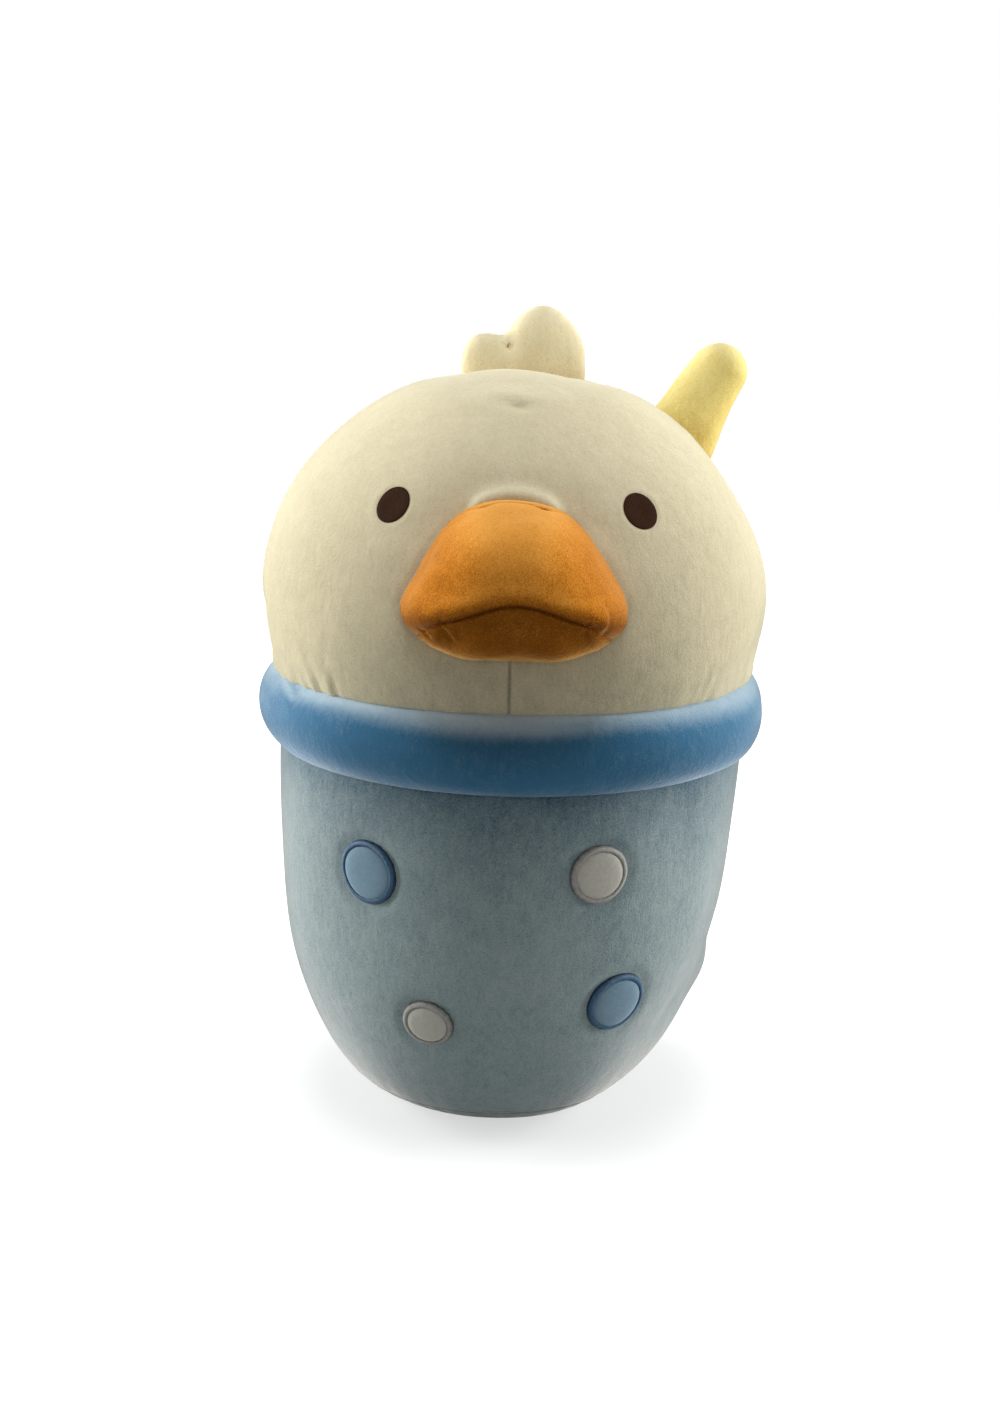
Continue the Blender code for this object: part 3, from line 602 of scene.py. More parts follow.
rim = {
    "height": 200 * mm,
    "ringRadius": 100.5 * mm,
    "tubeRadius": 21.5 * mm,
    "slit": 4,  # degrees left open each side of the inner seam
    "columns": 340,
    "rows": 84,
    "coarse": (20, 90),  # rows and columns of the grid that is simulated
    "unevenness": 0.55 * mm,
    "seamDepth": 0.9 * mm,
    "seamWidth": 1.6 * mm,
    "sim": {"bending": 0.4, "slack": 0.01, "frames": 14, "cap": 1.6 * mm},
}
seatRadius = rim["tubeRadius"] + 0.1 * mm  # where cup and head press against the rim


# Points round the rim's tube between two angles in degrees, where 0 points away from the axis
def rimArc(first, last, count, radius):
    angles = np.radians(np.linspace(first, last, count))
    across = rim["ringRadius"] + radius * np.cos(angles)
    return np.stack([across, rim["height"] + radius * np.sin(angles)], axis=1)


# The rim: a tube bent into a ring and left open along its inner seam, a little uneven in thickness
def makeRim():
    profile = rimArc(180 - rim["slit"], rim["slit"] - 180, 400, rim["tubeRadius"])
    coarse, pinned = coarseBag(profile, *rim["coarse"])
    pinned[[0, -1]] = True
    movement = swell("rim bag", coarse, pinned, rim["sim"])
    shares = np.linspace(0, 1, rim["rows"])
    points = turned(profileAt(profile, shares), roundAngles(rim["columns"], np.ones_like))
    points = points + carried(movement, shares, np.arange(rim["columns"]) / rim["columns"])
    around = np.abs(np.arctan2(points[..., 0], points[..., 1])) * rim["ringRadius"]  # from the back seam
    outer = softStep(np.hypot(points[..., 0], points[..., 1]), 112 * mm, 119 * mm)
    relief = rim["unevenness"] * waves(points, 70 * mm, 11) * outer
    seam = bell(around, rim["seamWidth"])
    relief -= rim["seamDepth"] * seam
    relief += 0.35 * mm * waves(points * (0.2, 0.2, 1), 5 * mm, 12) * bell(around, 7 * mm) * (1 - seam)
    creaseAndPaintedShade = fold(points, (-104, -41, 217.5), (-96, -68, 212.5), 1.8 * mm, 1)
    relief -= 1.2 * mm * creaseAndPaintedShade
    relief += fold(points, (-106.5, -43, 215), (-98.5, -70, 210), 3.2 * mm, 0.7 * mm)
    relief += swelling(points, (121, -10, 200), 24, -2)
    points = raisedBy(points, relief)
    # painted highlight: the rim's upper side is painted lighter, most of all at the front
    turn = np.arctan2(points[..., 0], -points[..., 1])
    napAndPaintedLight = softStep(gridNormals(points)[..., 2], 0.3, 1.0) * (0.45 + 0.55 * bell(turn, 0.34))
    # painted shade in the back seam and in the crease at the left
    cover = clothBag("rim_cloth", points, 0.4 * seam + 0.5 * creaseAndPaintedShade, napAndPaintedLight=napAndPaintedLight)
    clothPanel(cover, "rim", "rim_cover")
    inner = insideOf(points)[::4, ::4]
    inner = inner + 0.2 * mm * waves(inner, 14 * mm, 13)[..., None]
    stuffing("rim_stuffing", inner, "rim_filling", poles=(False, False), rowsWrap=True)
    print("rim made")


dots = (
    # where it is, its colour, its turn from the front in degrees, its height and its diameter
    ("upper_left", "blue", -33.2, 139.4 * mm, 30.2 * mm),
    ("upper_right", "white", 21.9, 144.4 * mm, 27.4 * mm),
    ("lower_left", "white", -17.9, 69.6 * mm, 24.4 * mm),
    ("lower_right", "blue", 31.7, 78.8 * mm, 30.2 * mm),
)
threadColours = {"blue": "blue", "white": "grey"}  # of each dot's edge

cup = {
    "topRadius": 112 * mm,
    "footRadius": 50 * mm,
    "formHeight": 189.25 * mm,
    "footCut": 0.5 * mm,
    "swellPower": 2.8,
    "footPower": 0.67,
    "seamHeight": 14 * mm,
    "tuck": 7 * mm,  # how far the base panel is drawn in under its seam
    "lean": 5.8 * mm,  # how far the foot stands to the left of the rim
    "columns": 330,
    "rows": 140,
    "coarse": (44, 110),
    "seamDepth": 0.5 * mm,
    "seamWidth": 1.6 * mm,
    # where each broad swelling or dent is, how wide and how high it is, in mm
    "swellings": (
        ((97, -5, 66), 15, 3.2), ((101, -10, 86), 12, -1.2),
        ((112, -5, 146), 34, -2.6), ((-112, -5, 118), 34, -1.6),
    ),
    "sim": {"bending": 0.4, "slack": 0.012, "frames": 14, "cap": 1.1 * mm},
}


# The cup's outline: a radius that swells fast from the foot and slowly towards the rim
def cupPoint(share):
    swollen = (1 - (1 - share) ** cup["swellPower"]) ** cup["footPower"]
    radius = cup["footRadius"] + (cup["topRadius"] - cup["footRadius"]) * swollen
    return np.stack([radius, cup["formHeight"] * share - cup["footCut"]], axis=-1)


def cupProfile():
    shares = np.linspace(0.5, 1, 2000)
    wall = cupPoint(shares)
    away = np.hypot(wall[:, 0] - rim["ringRadius"], wall[:, 1] - rim["height"])
    top = shares[np.argmax(away <= seatRadius)]
    contact = cupPoint(top)
    contactAngle = math.degrees(math.atan2(contact[1] - rim["height"], contact[0] - rim["ringRadius"]))
    under = rimArc(0.5 - 180, contactAngle, 160, seatRadius)
    low = cup["footCut"] / cup["formHeight"]
    wall = cupPoint(low + (top - low) * np.linspace(1, 0, 400) ** 1.7)
    wall[:, 0] -= cup["tuck"] * (1 - wall[:, 1] / cup["seamHeight"]).clip(0)
    flat = np.stack([np.linspace(wall[-1][0], 0, 60)[1:], np.zeros(59)], axis=1)
    foot = [[wall[-1][0], 0]]
    return easedProfile(np.concatenate([under[:-1], wall[:-1], foot, flat]), 0.4 * mm, 4 * mm, (False, True))


# Where a dot sits on the cup: its centre and its outward direction
def dotPlace(turn, height):
    profile = cupProfile()
    wall = profile[(profile[:, 1] < 180 * mm) & (profile[:, 1] > cup["seamHeight"])]
    place, normal = placeOn(wall, height, turn)
    place[0] += leanAt(height)
    place[2] = height
    return Vector(place), normal


# How far the cup is shifted to the side at a height: nothing at the rim, and the whole lean at the foot
def leanAt(height):
    leaning = cup["lean"] * np.clip((rim["height"] - height) / rim["height"], 0, 1)
    return -leaning - 1.2 * mm * np.exp(-height / (12 * mm))


# The cup's seams, the dimples that the dots sit in and the uneven stuffing, and the painted shade in its seams
# and under the rim
def cupRelief(points):
    x, y, z = np.moveaxis(points, -1, 0)
    around = np.arctan2(x, -y)
    fromBack = (math.pi - np.abs(around)) * np.hypot(x, y)
    baseSeam = bell(z - cup["seamHeight"], cup["seamWidth"]) * softStep(np.hypot(x, y), 30 * mm, 45 * mm)
    backSeam = bell(fromBack, 1.1 * mm) * softStep(z, 8 * mm, 16 * mm)
    isFree = softStep(192 * mm - z, 0, 16 * mm)  # nothing where the cup presses on the rim
    relief = 0.6 * mm * waves(points, 75 * mm, 21) * isFree
    relief -= cup["seamDepth"] * baseSeam + 0.8 * mm * backSeam
    ring = np.stack([around * 70 * mm, np.zeros_like(z)], axis=-1)
    gathers = waves(ring, 7 * mm, 22) * np.exp(-np.abs(z - cup["seamHeight"]) / (9 * mm)) * (1 - baseSeam)
    relief += 0.15 * mm * gathers * softStep(z, 3 * mm, 9 * mm)
    relief += 0.3 * mm * waves(points * (0.2, 0.2, 1), 8 * mm, 23) * bell(fromBack, 8 * mm) * (1 - backSeam)
    for _, _, turn, height, diameter in dots:
        place, _ = dotPlace(turn, height)
        away = np.linalg.norm(points - np.array(place), axis=-1)
        relief -= 0.7 * mm * bell(away - diameter / 2 - 0.6 * mm, 1.6 * mm)
        relief -= 0.5 * mm * (1 - softStep(away, diameter / 2, diameter / 2 + 6 * mm))
    relief += swellings(points, cup["swellings"])
    relief -= 0.7 * mm * np.exp(-z / (11 * mm)) * softStep(np.hypot(x, y), 30 * mm, 45 * mm)
    relief -= fold(points, (93, -47, 90), (74, -57, 50), 7 * mm, 1.0 * mm)
    # painted shadow: the cup darkens towards the rim, where the rim shades it
    shadowUnderRim = np.exp(-(190 * mm - z).clip(0) / (22 * mm))
    return relief, 0.15 * baseSeam + 0.45 * backSeam + 0.6 * shadowUnderRim


def makeCup():
    profile = cupProfile()
    rowShares = crowded(0, 1, cup["rows"], lambda share: 1 + 1.5 * bell(share - 0.82, 0.05))
    coarse, pinned = coarseBag(profile, *cup["coarse"])
    pinned[0] = True
    pinned |= np.abs(coarse[..., 2] - cup["seamHeight"]) < 3 * mm
    pinned |= coarse[..., 2] < 0.2 * mm
    movement = swell("cup bag", coarse, pinned, cup["sim"], (False, True))
    points = turned(profileAt(profile, rowShares), roundAngles(cup["columns"], np.ones_like))
    points = points + carried(movement, rowShares, np.arange(cup["columns"]) / cup["columns"])
    points[..., 0] += leanAt(points[..., 2])
    relief, creaseAndPaintedShade = cupRelief(points)
    points = raisedBy(points, relief)
    points[..., 2] = np.maximum(points[..., 2], 0)  # pressed flat on what it stands on
    whole = clothBag("cup_side_cloth", points, creaseAndPaintedShade, (False, True))
    base = cutInTwo(whole, "cup_base_cloth", (0, 0, cup["seamHeight"]), (0, 0, -1))
    surface = copyOf(whole, "cup surface")
    clothPanel(whole, "cup", "cup_side_panel")
    clothPanel(base, "cup", "cup_base_panel")
    inner = insideOf(points)[3::4, ::4]
    inner[..., 2] = np.maximum(inner[..., 2], cloth["fillRoom"])
    stuffing("cup_stuffing", np.concatenate([lid(inner[:1]), inner, lid(inner[-1:])]), "cup_filling")
    print("cup made")
    return surface


# A flat piece laid on a surface: its points are dropped on to it along Z of the place, then raised by heights
def layOn(obj, surface, place, heights):
    obj.matrix_world = place
    drop = obj.modifiers.new("Lie", "SHRINKWRAP")
    drop.target = surface
    drop.wrap_method = "PROJECT"
    drop.use_project_z = True
    drop.use_negative_direction = True
    drop.use_positive_direction = False
    settle(obj)
    coords = coordsOf(obj.data)
    coords[:, 2] += heights
    setCoords(obj.data, coords)
    obj.data.transform(obj.matrix_world)
    obj.matrix_world = Matrix.Identity(4)
    return obj


# A matrix at a point with its Z along a direction and its Y as upright as it can be
def placed(point, direction):
    forward = Vector(direction).normalized()
    side = Vector((0, 0, 1)).cross(forward).normalized()
    axes = Matrix((side, forward.cross(side), forward)).transposed().to_4x4()
    return Matrix.Translation(point) @ axes


# A puffed disc, round or oval: rings from the middle out and back under, its height a flattened dome
def puffedDisc(name, halfWidth, halfHeight, crown, under, surface, place):
    rings, columns = 26, 96
    angles = np.linspace(0, tau, columns, endpoint=False)
    over = np.sin(np.linspace(0, math.pi / 2, rings))
    shares = np.concatenate([over, over[-2::-1]])
    top = crown * (1 - over**4) ** 0.5
    heights = np.concatenate([under + top, np.full(rings - 1, under)])
    heights[rings - 1] = under + crown * 0.12
    across = shares[:, None] * np.cos(angles) * halfWidth
    upward = shares[:, None] * np.sin(angles) * halfHeight
    points = np.stack([across, upward, np.full_like(across, 12 * mm)], axis=-1)
    obj, index = gridPiece(name, points, (True, True))
    lift = np.zeros(len(obj.data.vertices))
    lift[index] = np.broadcast_to(heights[:, None], index.shape)
    return layOn(obj, surface, place, lift)


# A satin-stitched edge: a ring whose section is a low arch, with the stitches' ends a little uneven
def stitchedRing(name, outer, width, crown, surface, place, seed):
    columns, section = 460, 18
    angles = np.linspace(0, tau, columns, endpoint=False)
    turn = np.linspace(0, tau, section, endpoint=False)
    chance = np.random.default_rng(seed)
    ragged = 1 + 0.05 * chance.uniform(-1, 1, columns)
    offsets = np.cos(turn)[:, None] * ragged * width / 2
    radii = outer - width / 2 + offsets
    points = np.stack([radii * np.cos(angles), radii * np.sin(angles), np.full_like(radii, 12 * mm)], axis=-1)
    obj, index = gridPiece(name, points, rowsWrap=True)
    arch = np.where(np.sin(turn) > 0, np.abs(np.sin(turn)) ** 0.8 * crown, 0)
    lift = np.zeros(len(obj.data.vertices))
    lift[index] = np.broadcast_to(arch[:, None] + 0.05 * mm, index.shape)
    return layOn(obj, surface, place, lift)


def makeDots(surface):
    for number, (where, colour, turn, height, diameter) in enumerate(dots):
        name = where + "_" + colour
        edge = threadColours[colour]
        place = placed(*dotPlace(turn, height))
        inner = diameter / 2 - 2.8 * mm
        disc = puffedDisc(name + "_disc", inner, inner, 1.1 * mm, 1.1 * mm, surface, place)
        dress(disc, looks[colour + "Dot"], "toy", name + "_dot")
        ring = stitchedRing(name + "_edge", diameter / 2, 3.1 * mm, 1.8 * mm, surface, place, 31 + number)
        dress(ring, looks[edge + "Edge"], "toy", name + "_dot_border")
    bpy.data.objects.remove(surface, do_unlink=True)
    print("dots made")


bill = {
    "centre": (0, -110.08 * mm, 275.47 * mm),
    # how far its outline reaches from the centre in mm, every 15 degrees from the top round to the bottom
    "outline": (32.4, 33.1, 34.4, 35.3, 36.5, 38.3, 42.6, 49.8, 47.2, 41.9, 37.3, 34, 33),
    "lopsided": 0.5 * mm,
    "reach": 56 * mm,
    "tipPower": 0.9,
    "rootPower": 6,
    "sunk": 1.5 * mm,  # how far its root lies inside the face
    "shrink": 0.6 * mm,  # how much smaller it is before it is swelled
    "pins": ((-14 * mm, 1.5 * mm), (11.2 * mm, 2.4 * mm)),  # each tack's place across, and its depth
    "pinDepth": -115.5 * mm,
    "mouthHeight": 259.8 * mm,  # at the corners
    "mouthRise": 12.5 * mm,
    "mouthWidth": 26 * mm,
    "cornerDrop": 9 * mm,
    "columns": 230,
    "rows": 120,
    "coarse": (26, 60),
    "seamDepth": 1.1 * mm,
    "seamWidth": 0.8 * mm,
    # where each fold at the mouth's corners starts and ends, how wide and how high it is, in mm
    "folds": (
        ((-28, -154, 262), (-25, -150, 254), 1.1, -1.3),
        ((-25.5, -156, 262), (-22.5, -152, 253), 2.1, 0.5),
        ((-37, -143, 262), (-34, -146, 254), 1.5, -0.8),
        ((36, -147, 272), (36.5, -145, 258), 2.2, -0.55),
        ((34, -150, 272), (35, -149, 258), 2.3, 0.7),
    ),
    "sim": {"bending": 0.5, "slack": 0.015, "frames": 12, "cap": 1.2 * mm},
}

head = {
    "halfWidth": 119.5 * mm,
    "rise": 107 * mm,
    "centre": 250 * mm,
    "domePower": 0.886,
    "contactAngle": 50.9,
    "seamBack": 32 * mm,
    "columns": 380,
    "rows": 170,
    "coarse": (46, 120),
    "pinRoom": 3.6 * mm,  # how near to a seam the simulated grid is pinned
    "seamDepth": 1.7 * mm,
    "seamWidth": 2.6 * mm,
    "dimple": (-0.9, -61.9, 344.1),
    "eyeTurn": 29.5,
    "eyeHeight": 302.4 * mm,
    "eyeWidth": 15.6 * mm,
    "eyeTall": 17 * mm,
    "eyeTilt": 18,
    # where each fold of the lower cheeks starts and ends, how wide and how high it is, in mm
    "folds": (
        ((-94, -70, 242), (-87, -75, 215), 2.4, 1.3),
        ((-89.5, -76, 243), (-84, -78.5, 215), 1.7, -1.4),
        ((-82, -84, 227), (-78, -83.5, 214), 1.7, 0.7),
        ((-79, -87, 229), (-75.5, -86, 214), 1.5, -0.9),
        ((-79.7, -89, 252), (-82, -86, 232), 1.6, -0.35),
        ((86, -82, 239), (79, -82, 215), 1.4, -0.7),
        ((88.5, -79.5, 237), (83, -78.5, 215), 1.8, 0.6),
        ((-112, -38, 250), (-101, -48, 214), 7, 1.2),
    ),
    # where each broad swelling or dent is, how wide and how high it is, in mm
    "cheeks": (((-117, -22, 236), 17, -3.8), ((-118, -2, 233), 15, -1.8), ((115, -28, 231), 16, -2.6)),
    "swellings": (
        ((-85, -5, 328), 32, -1.6), ((100, -5, 314), 26, -5), ((66, -5, 338), 26, -2.1),
        ((113, -8, 288), 22, -1.2), ((-6, -8, 357), 22, 1.8), ((34, 0, 352), 15, -1.2),
    ),
    "sim": {"bending": 0.4, "slack": 0.012, "frames": 14, "cap": 1.1 * mm},
}


# The dome's height over a place: a rounded ellipse turned about Z
def domeHeight(x, y):
    flat = np.clip(np.hypot(x, y) / head["halfWidth"], 0, 1) ** (1 / head["domePower"])
    return head["centre"] + head["rise"] * np.sqrt(1 - flat**2)


# The head's outline: the dome, the chin drawn in towards the rim, and the part that presses on the rim
def headProfile():
    angles = np.radians(np.linspace(90, 0, 400))
    across = head["halfWidth"] * np.cos(angles).clip(0) ** head["domePower"]
    dome = np.stack([across, head["centre"] + head["rise"] * np.sin(angles)], axis=1)
    dome[0, 0] = 0
    contact, low = rimArc(head["contactAngle"], head["contactAngle"], 1, seatRadius)[0]
    share = np.linspace(0, 1, 100)[1:]
    across = head["halfWidth"] + (contact - head["halfWidth"]) * share**2
    chin = np.stack([across, head["centre"] + (low - head["centre"]) * share], axis=1)
    over = rimArc(head["contactAngle"], 179.5, 200, seatRadius)[1:]
    return easedProfile(np.concatenate([dome, chin, over]), 0.4 * mm, 4 * mm, (True, False))


# Where the eyes are sewn
def eyePlace(side):
    profile = headProfile()
    place, normal = placeOn(profile[: len(profile) // 2], head["eyeHeight"], side * head["eyeTurn"])
    return Vector(place), normal


# The bill's outline: how far it reaches in each direction from its centre, with 0 upwards
def billReach(angles):
    half = np.array(bill["outline"]) * mm
    whole = np.concatenate([half, half[-2:0:-1]])
    places = np.mod(angles, tau) / tau * len(whole)
    reach = between(whole, places.ravel(), 0, True).reshape(places.shape)
    return reach - bill["lopsided"] * np.sin(2 * angles) * (np.cos(angles) > 0)


# How far outside the bill's outline a point of the face is: nothing on the seam where the bill is sewn on
def fromBill(x, z):
    up = z - bill["centre"][2]
    return np.hypot(x, up) - billReach(np.arctan2(x, up))


# The face's own surface: how far in front of the axis it is over a place across and up
def faceDepth(x, z):
    over = np.clip((z - head["centre"]) / head["rise"], 0, 1)
    contact, low = rimArc(head["contactAngle"], head["contactAngle"], 1, seatRadius)[0]
    under = np.clip((head["centre"] - z) / (head["centre"] - low), 0, 1)
    radius = head["halfWidth"] * (1 - over**2) ** (head["domePower"] / 2)
    radius = radius + (contact - head["halfWidth"]) * under**2
    return -np.sqrt((radius**2 - x**2).clip(0))


# The face's seams, darts, dimple, eye sockets and folds, and the painted shade in its seams, darts and dimple
# and round the bill
def headRelief(points):
    x, y, z = np.moveaxis(points, -1, 0)
    isFree = softStep(z, 213 * mm, 232 * mm)  # nothing where the head presses on the rim
    relief = 0.55 * mm * waves(points, 80 * mm, 41) * isFree
    away = y - head["seamBack"]
    along = np.stack([np.arctan2(x, z - 235 * mm) * 115 * mm, np.zeros_like(z)], axis=-1)
    backSeam = bell(away, head["seamWidth"]) * softStep(z, 213 * mm, 218 * mm)
    relief -= head["seamDepth"] * backSeam
    relief += 0.55 * mm * waves(along, 9 * mm, 42) * np.exp(-np.abs(away) / (9 * mm)) * (1 - backSeam)
    isFront = softStep(-y, 60 * mm, 80 * mm)
    turn = np.arctan2(x, -y)
    ring = np.stack([turn * 105 * mm, np.zeros_like(z)], axis=-1)
    low = np.exp(-(z - 217 * mm).clip(0) / (9 * mm))
    calm = 0.12 + 0.88 * softStep(np.abs(turn), 0.6, 1.0)
    relief += 0.45 * mm * waves(ring, 10 * mm, 43) * low * calm * softStep(z, 212 * mm, 219 * mm)
    outside = fromBill(x, z)
    above = softStep(z, 297 * mm, 305 * mm) * isFront * (1 - softStep(np.abs(x + 0.3 * mm), 15 * mm, 23 * mm))
    sewn = bell(outside, 1.5 * mm) * isFront * (1 - above)
    relief -= 0.5 * mm * sewn
    arch = 2.6 * mm * (1 - (x / (17 * mm)) ** 2).clip(-0.5)
    relief += 3.7 * mm * bell(outside + 1.4 * mm - arch, 3.5 * mm) * above
    relief -= 1.3 * mm * bell(outside - 1 * mm, 9 * mm) * softStep(z, 285 * mm, 300 * mm) * isFront
    chinDart = bell(x + 1.4 * mm, 0.65 * mm) * isFront * (1 - softStep(z, 238 * mm, 248 * mm))
    relief -= 0.7 * mm * chinDart
    crownDart = fold(points, (-3, -12, 357), (-1, -60, 346), 1.0 * mm, 1)
    relief -= 0.12 * mm * crownDart
    dx, dy, dz = np.moveaxis(points - np.array(head["dimple"]) * mm, -1, 0)
    down = np.hypot(dy, dz) * np.sign(dz - dy)
    sag = down + dx**2 * 5 - 0.3 * dx
    pit = bell(dx, 8 * mm) * bell(sag, 4.5 * mm)
    core = bell(dx, 3.5 * mm) * bell(sag, 3 * mm)
    nearDimple = softStep(-y, 40 * mm, 50 * mm) * softStep(z, 325 * mm, 332 * mm)
    relief -= (1.1 * mm * pit + 0.4 * mm * core) * nearDimple
    lips = bell(sag - 8 * mm, 4 * mm) + bell(sag + 8 * mm, 4 * mm)
    relief += 0.4 * mm * bell(dx, 11 * mm) * lips * nearDimple
    for side in (-1, 1):
        place, _ = eyePlace(side)
        apart = np.linalg.norm(points - np.array(place), axis=-1)
        relief -= 1.3 * mm * bell(apart, 8 * mm)
        relief += 0.45 * mm * bell(apart - 9.4 * mm, 1.5 * mm)
    relief += folds(points, head["folds"]) + swellings(points, head["swellings"])
    relief += swellings(points, head["cheeks"]) * softStep(z, 215 * mm, 228 * mm)
    # painted shade in the dimple, and with the lines below in the seams, the darts and round the bill
    dimple = (0.2 * pit + 0.25 * core) * nearDimple
    creaseAndPaintedShade = 0.45 * backSeam + 0.55 * chinDart + 0.03 * crownDart + 0.12 * sewn + dimple
    return relief, creaseAndPaintedShade


# How close the head's rows lie: closer at the dimple and the cheeks, and further apart on the rim
def rowDensity(share):
    closer = 1.3 * bell(share - 0.2, 0.05) + 0.8 * bell(share - 0.72, 0.08)
    return 1 + closer - 0.5 * softStep(share, 0.82, 0.9)


# How close its columns lie: closer in front, and closest at the dart under the bill
def columnDensity(angle):
    return 1 + 0.9 * bell(angle, 0.9) + 4.5 * bell(angle + 0.012, 0.035)


def makeHead():
    profile = headProfile()
    rowShares = crowded(0, 1, head["rows"], rowDensity)
    angles = roundAngles(head["columns"], columnDensity)
    coarse, pinned = coarseBag(profile, *head["coarse"])
    x, y, z = np.moveaxis(coarse, -1, 0)
    pinned[-1] = True
    pinned |= (np.abs(y - head["seamBack"]) < head["pinRoom"]) & (z > 215 * mm)
    pinned |= (np.abs(x) < head["pinRoom"]) & (y < 0) & (z < 244 * mm)
    pinned |= (np.abs(fromBill(x, z)) < 3 * mm) & (y < -60 * mm)
    movement = swell("head bag", coarse, pinned, head["sim"], (True, False))
    points = turned(profileAt(profile, rowShares), angles)
    points = points + carried(movement, rowShares, (angles + math.pi) / tau)
    relief, creaseAndPaintedShade = headRelief(points)
    points = raisedBy(points, relief)
    whole = clothBag("face_cloth", points, creaseAndPaintedShade, (True, False))
    nape = cutInTwo(whole, "nape_cloth", (0, head["seamBack"], 0), (0, 1, 0))
    surface = copyOf(whole, "face surface")
    clothPanel(whole, "head", "head_front_panel")
    clothPanel(nape, "head", "head_back_panel")
    inner = insideOf(points)[::4, ::4]
    stuffing("head_stuffing", np.concatenate([inner, lid(inner[-1:])]), "head_filling")
    print("head made")
    return surface


def makeEyes(surface):
    for side, name in ((-1, "left_eye"), (1, "right_eye")):
        point, outward = eyePlace(side)
        place = placed(point, outward) @ Matrix.Rotation(math.radians(side * head["eyeTilt"]), 4, "Z")
        size = head["eyeWidth"] / 2, head["eyeTall"] / 2
        patch = puffedDisc(name + "_patch", *size, 0.9 * mm, 0.1 * mm, surface, place)
        dress(patch, looks["eye"], "toy", name)
    bpy.data.objects.remove(surface, do_unlink=True)
    print("eyes made")


# The bill: its outline drawn out forwards from the face to a blunt tip, and smaller by a powered cosine
def billPoints(angles, fronts):
    cx, cy, cz = bill["centre"]
    outline = billReach(angles) - bill["shrink"]
    across, upward = outline * np.sin(angles), outline * np.cos(angles)
    root = faceDepth(cx + across, cz + upward) + bill["sunk"]
    ring = np.sin(fronts)[:, None]
    blunt = ring ** bill["tipPower"]
    share = ring ** bill["rootPower"]
    ahead = (bill["reach"] - bill["shrink"]) * np.cos(fronts)[:, None].clip(0) ** bill["tipPower"]
    depth = cy * (1 - share) + root * share - ahead
    return np.stack([cx + blunt * across, depth, cz + blunt * upward], axis=-1)


# The mouth seam's height over a place across the bill: a bell that flattens, and at the corners turns down
def mouthAt(x):
    drop = bill["cornerDrop"] * softStep(np.abs(x), 28 * mm, 46 * mm)
    return bill["mouthHeight"] + bill["mouthRise"] * bell(x - 0.8 * mm, bill["mouthWidth"]) - drop


# A piece moved up by the mouth seam's height over each place, or down by it where the sign is -1
def byMouth(obj, sign):
    coords = coordsOf(obj.data)
    coords[:, 2] += sign * mouthAt(coords[:, 0])
    setCoords(obj.data, coords)


# The mouth seam, the puckers at its corners, and the pinch between the nostril tacks, and the painted shade in
# the seam, the puckers and the nostril pits
def billRelief(points):
    x, y, z = np.moveaxis(points, -1, 0)
    slope = -2 * (x - 0.8 * mm) / bill["mouthWidth"] ** 2 * (mouthAt(x) - bill["mouthHeight"])
    away = (z - mouthAt(x)) / np.hypot(1, slope)
    isFront = softStep(-y, 122 * mm, 130 * mm)
    isTop = softStep(z, 285 * mm, 292 * mm)
    seam = bell(away, bill["seamWidth"]) * isFront * (1 - 0.7 * softStep(np.abs(x), 29 * mm, 35 * mm))
    relief = 0.25 * mm * waves(points, 34 * mm, 51) - bill["seamDepth"] * seam
    under = bell(away + 6.5 * mm, 6 * mm) * (1 - softStep(np.abs(x), 22 * mm, 34 * mm))
    relief += (0.8 * mm * bell(away - 5 * mm, 4 * mm) - 2.4 * mm * under) * isFront
    relief += 0.35 * mm * bell(away + 1.6 * mm, 0.9 * mm) * isFront
    corners = bell(np.abs(x) - 34 * mm, 7 * mm) * bell(away, 9 * mm) * isFront
    spokes = np.stack([np.arctan2(away, np.abs(x) - 29 * mm) * 9 * mm, np.zeros_like(z)], axis=-1)
    relief += 0.45 * mm * waves(spokes, 6 * mm, 52) * corners
    relief += folds(points, bill["folds"])
    # painted shade darkens the nostril pits and the pinch between them
    holeShade = 0
    for across, depth in bill["pins"]:
        pin = np.hypot(x - across, y - bill["pinDepth"])
        relief -= (depth * bell(pin, 1.6 * mm) + 0.7 * mm * bell(pin, 4 * mm)) * isTop
        holeShade = holeShade + depth / (1.5 * mm) * bell(pin, 1.9 * mm) * isTop
    bow = y - bill["pinDepth"] - 1.5 * mm * (1 - (x / (13 * mm)) ** 2)
    pinched = softStep(13 * mm - np.abs(x + 1 * mm), -1 * mm, 3 * mm)
    relief -= 1.3 * mm * bell(bow, 1.3 * mm) * pinched * isTop
    holeShade = holeShade + 0.25 * bell(bow, 1.2 * mm) * pinched * isTop
    for side in (-1, 1):
        runs = softStep(side * x, 10 * mm, 13 * mm) * (1 - softStep(side * x, 16 * mm, 23 * mm))
        relief -= 0.9 * mm * bell(y - bill["pinDepth"] - 0.35 * (side * x - 12 * mm), 1.3 * mm) * runs * isTop
    return relief, 0.5 * seam + 0.15 * corners + 1.2 * holeShade


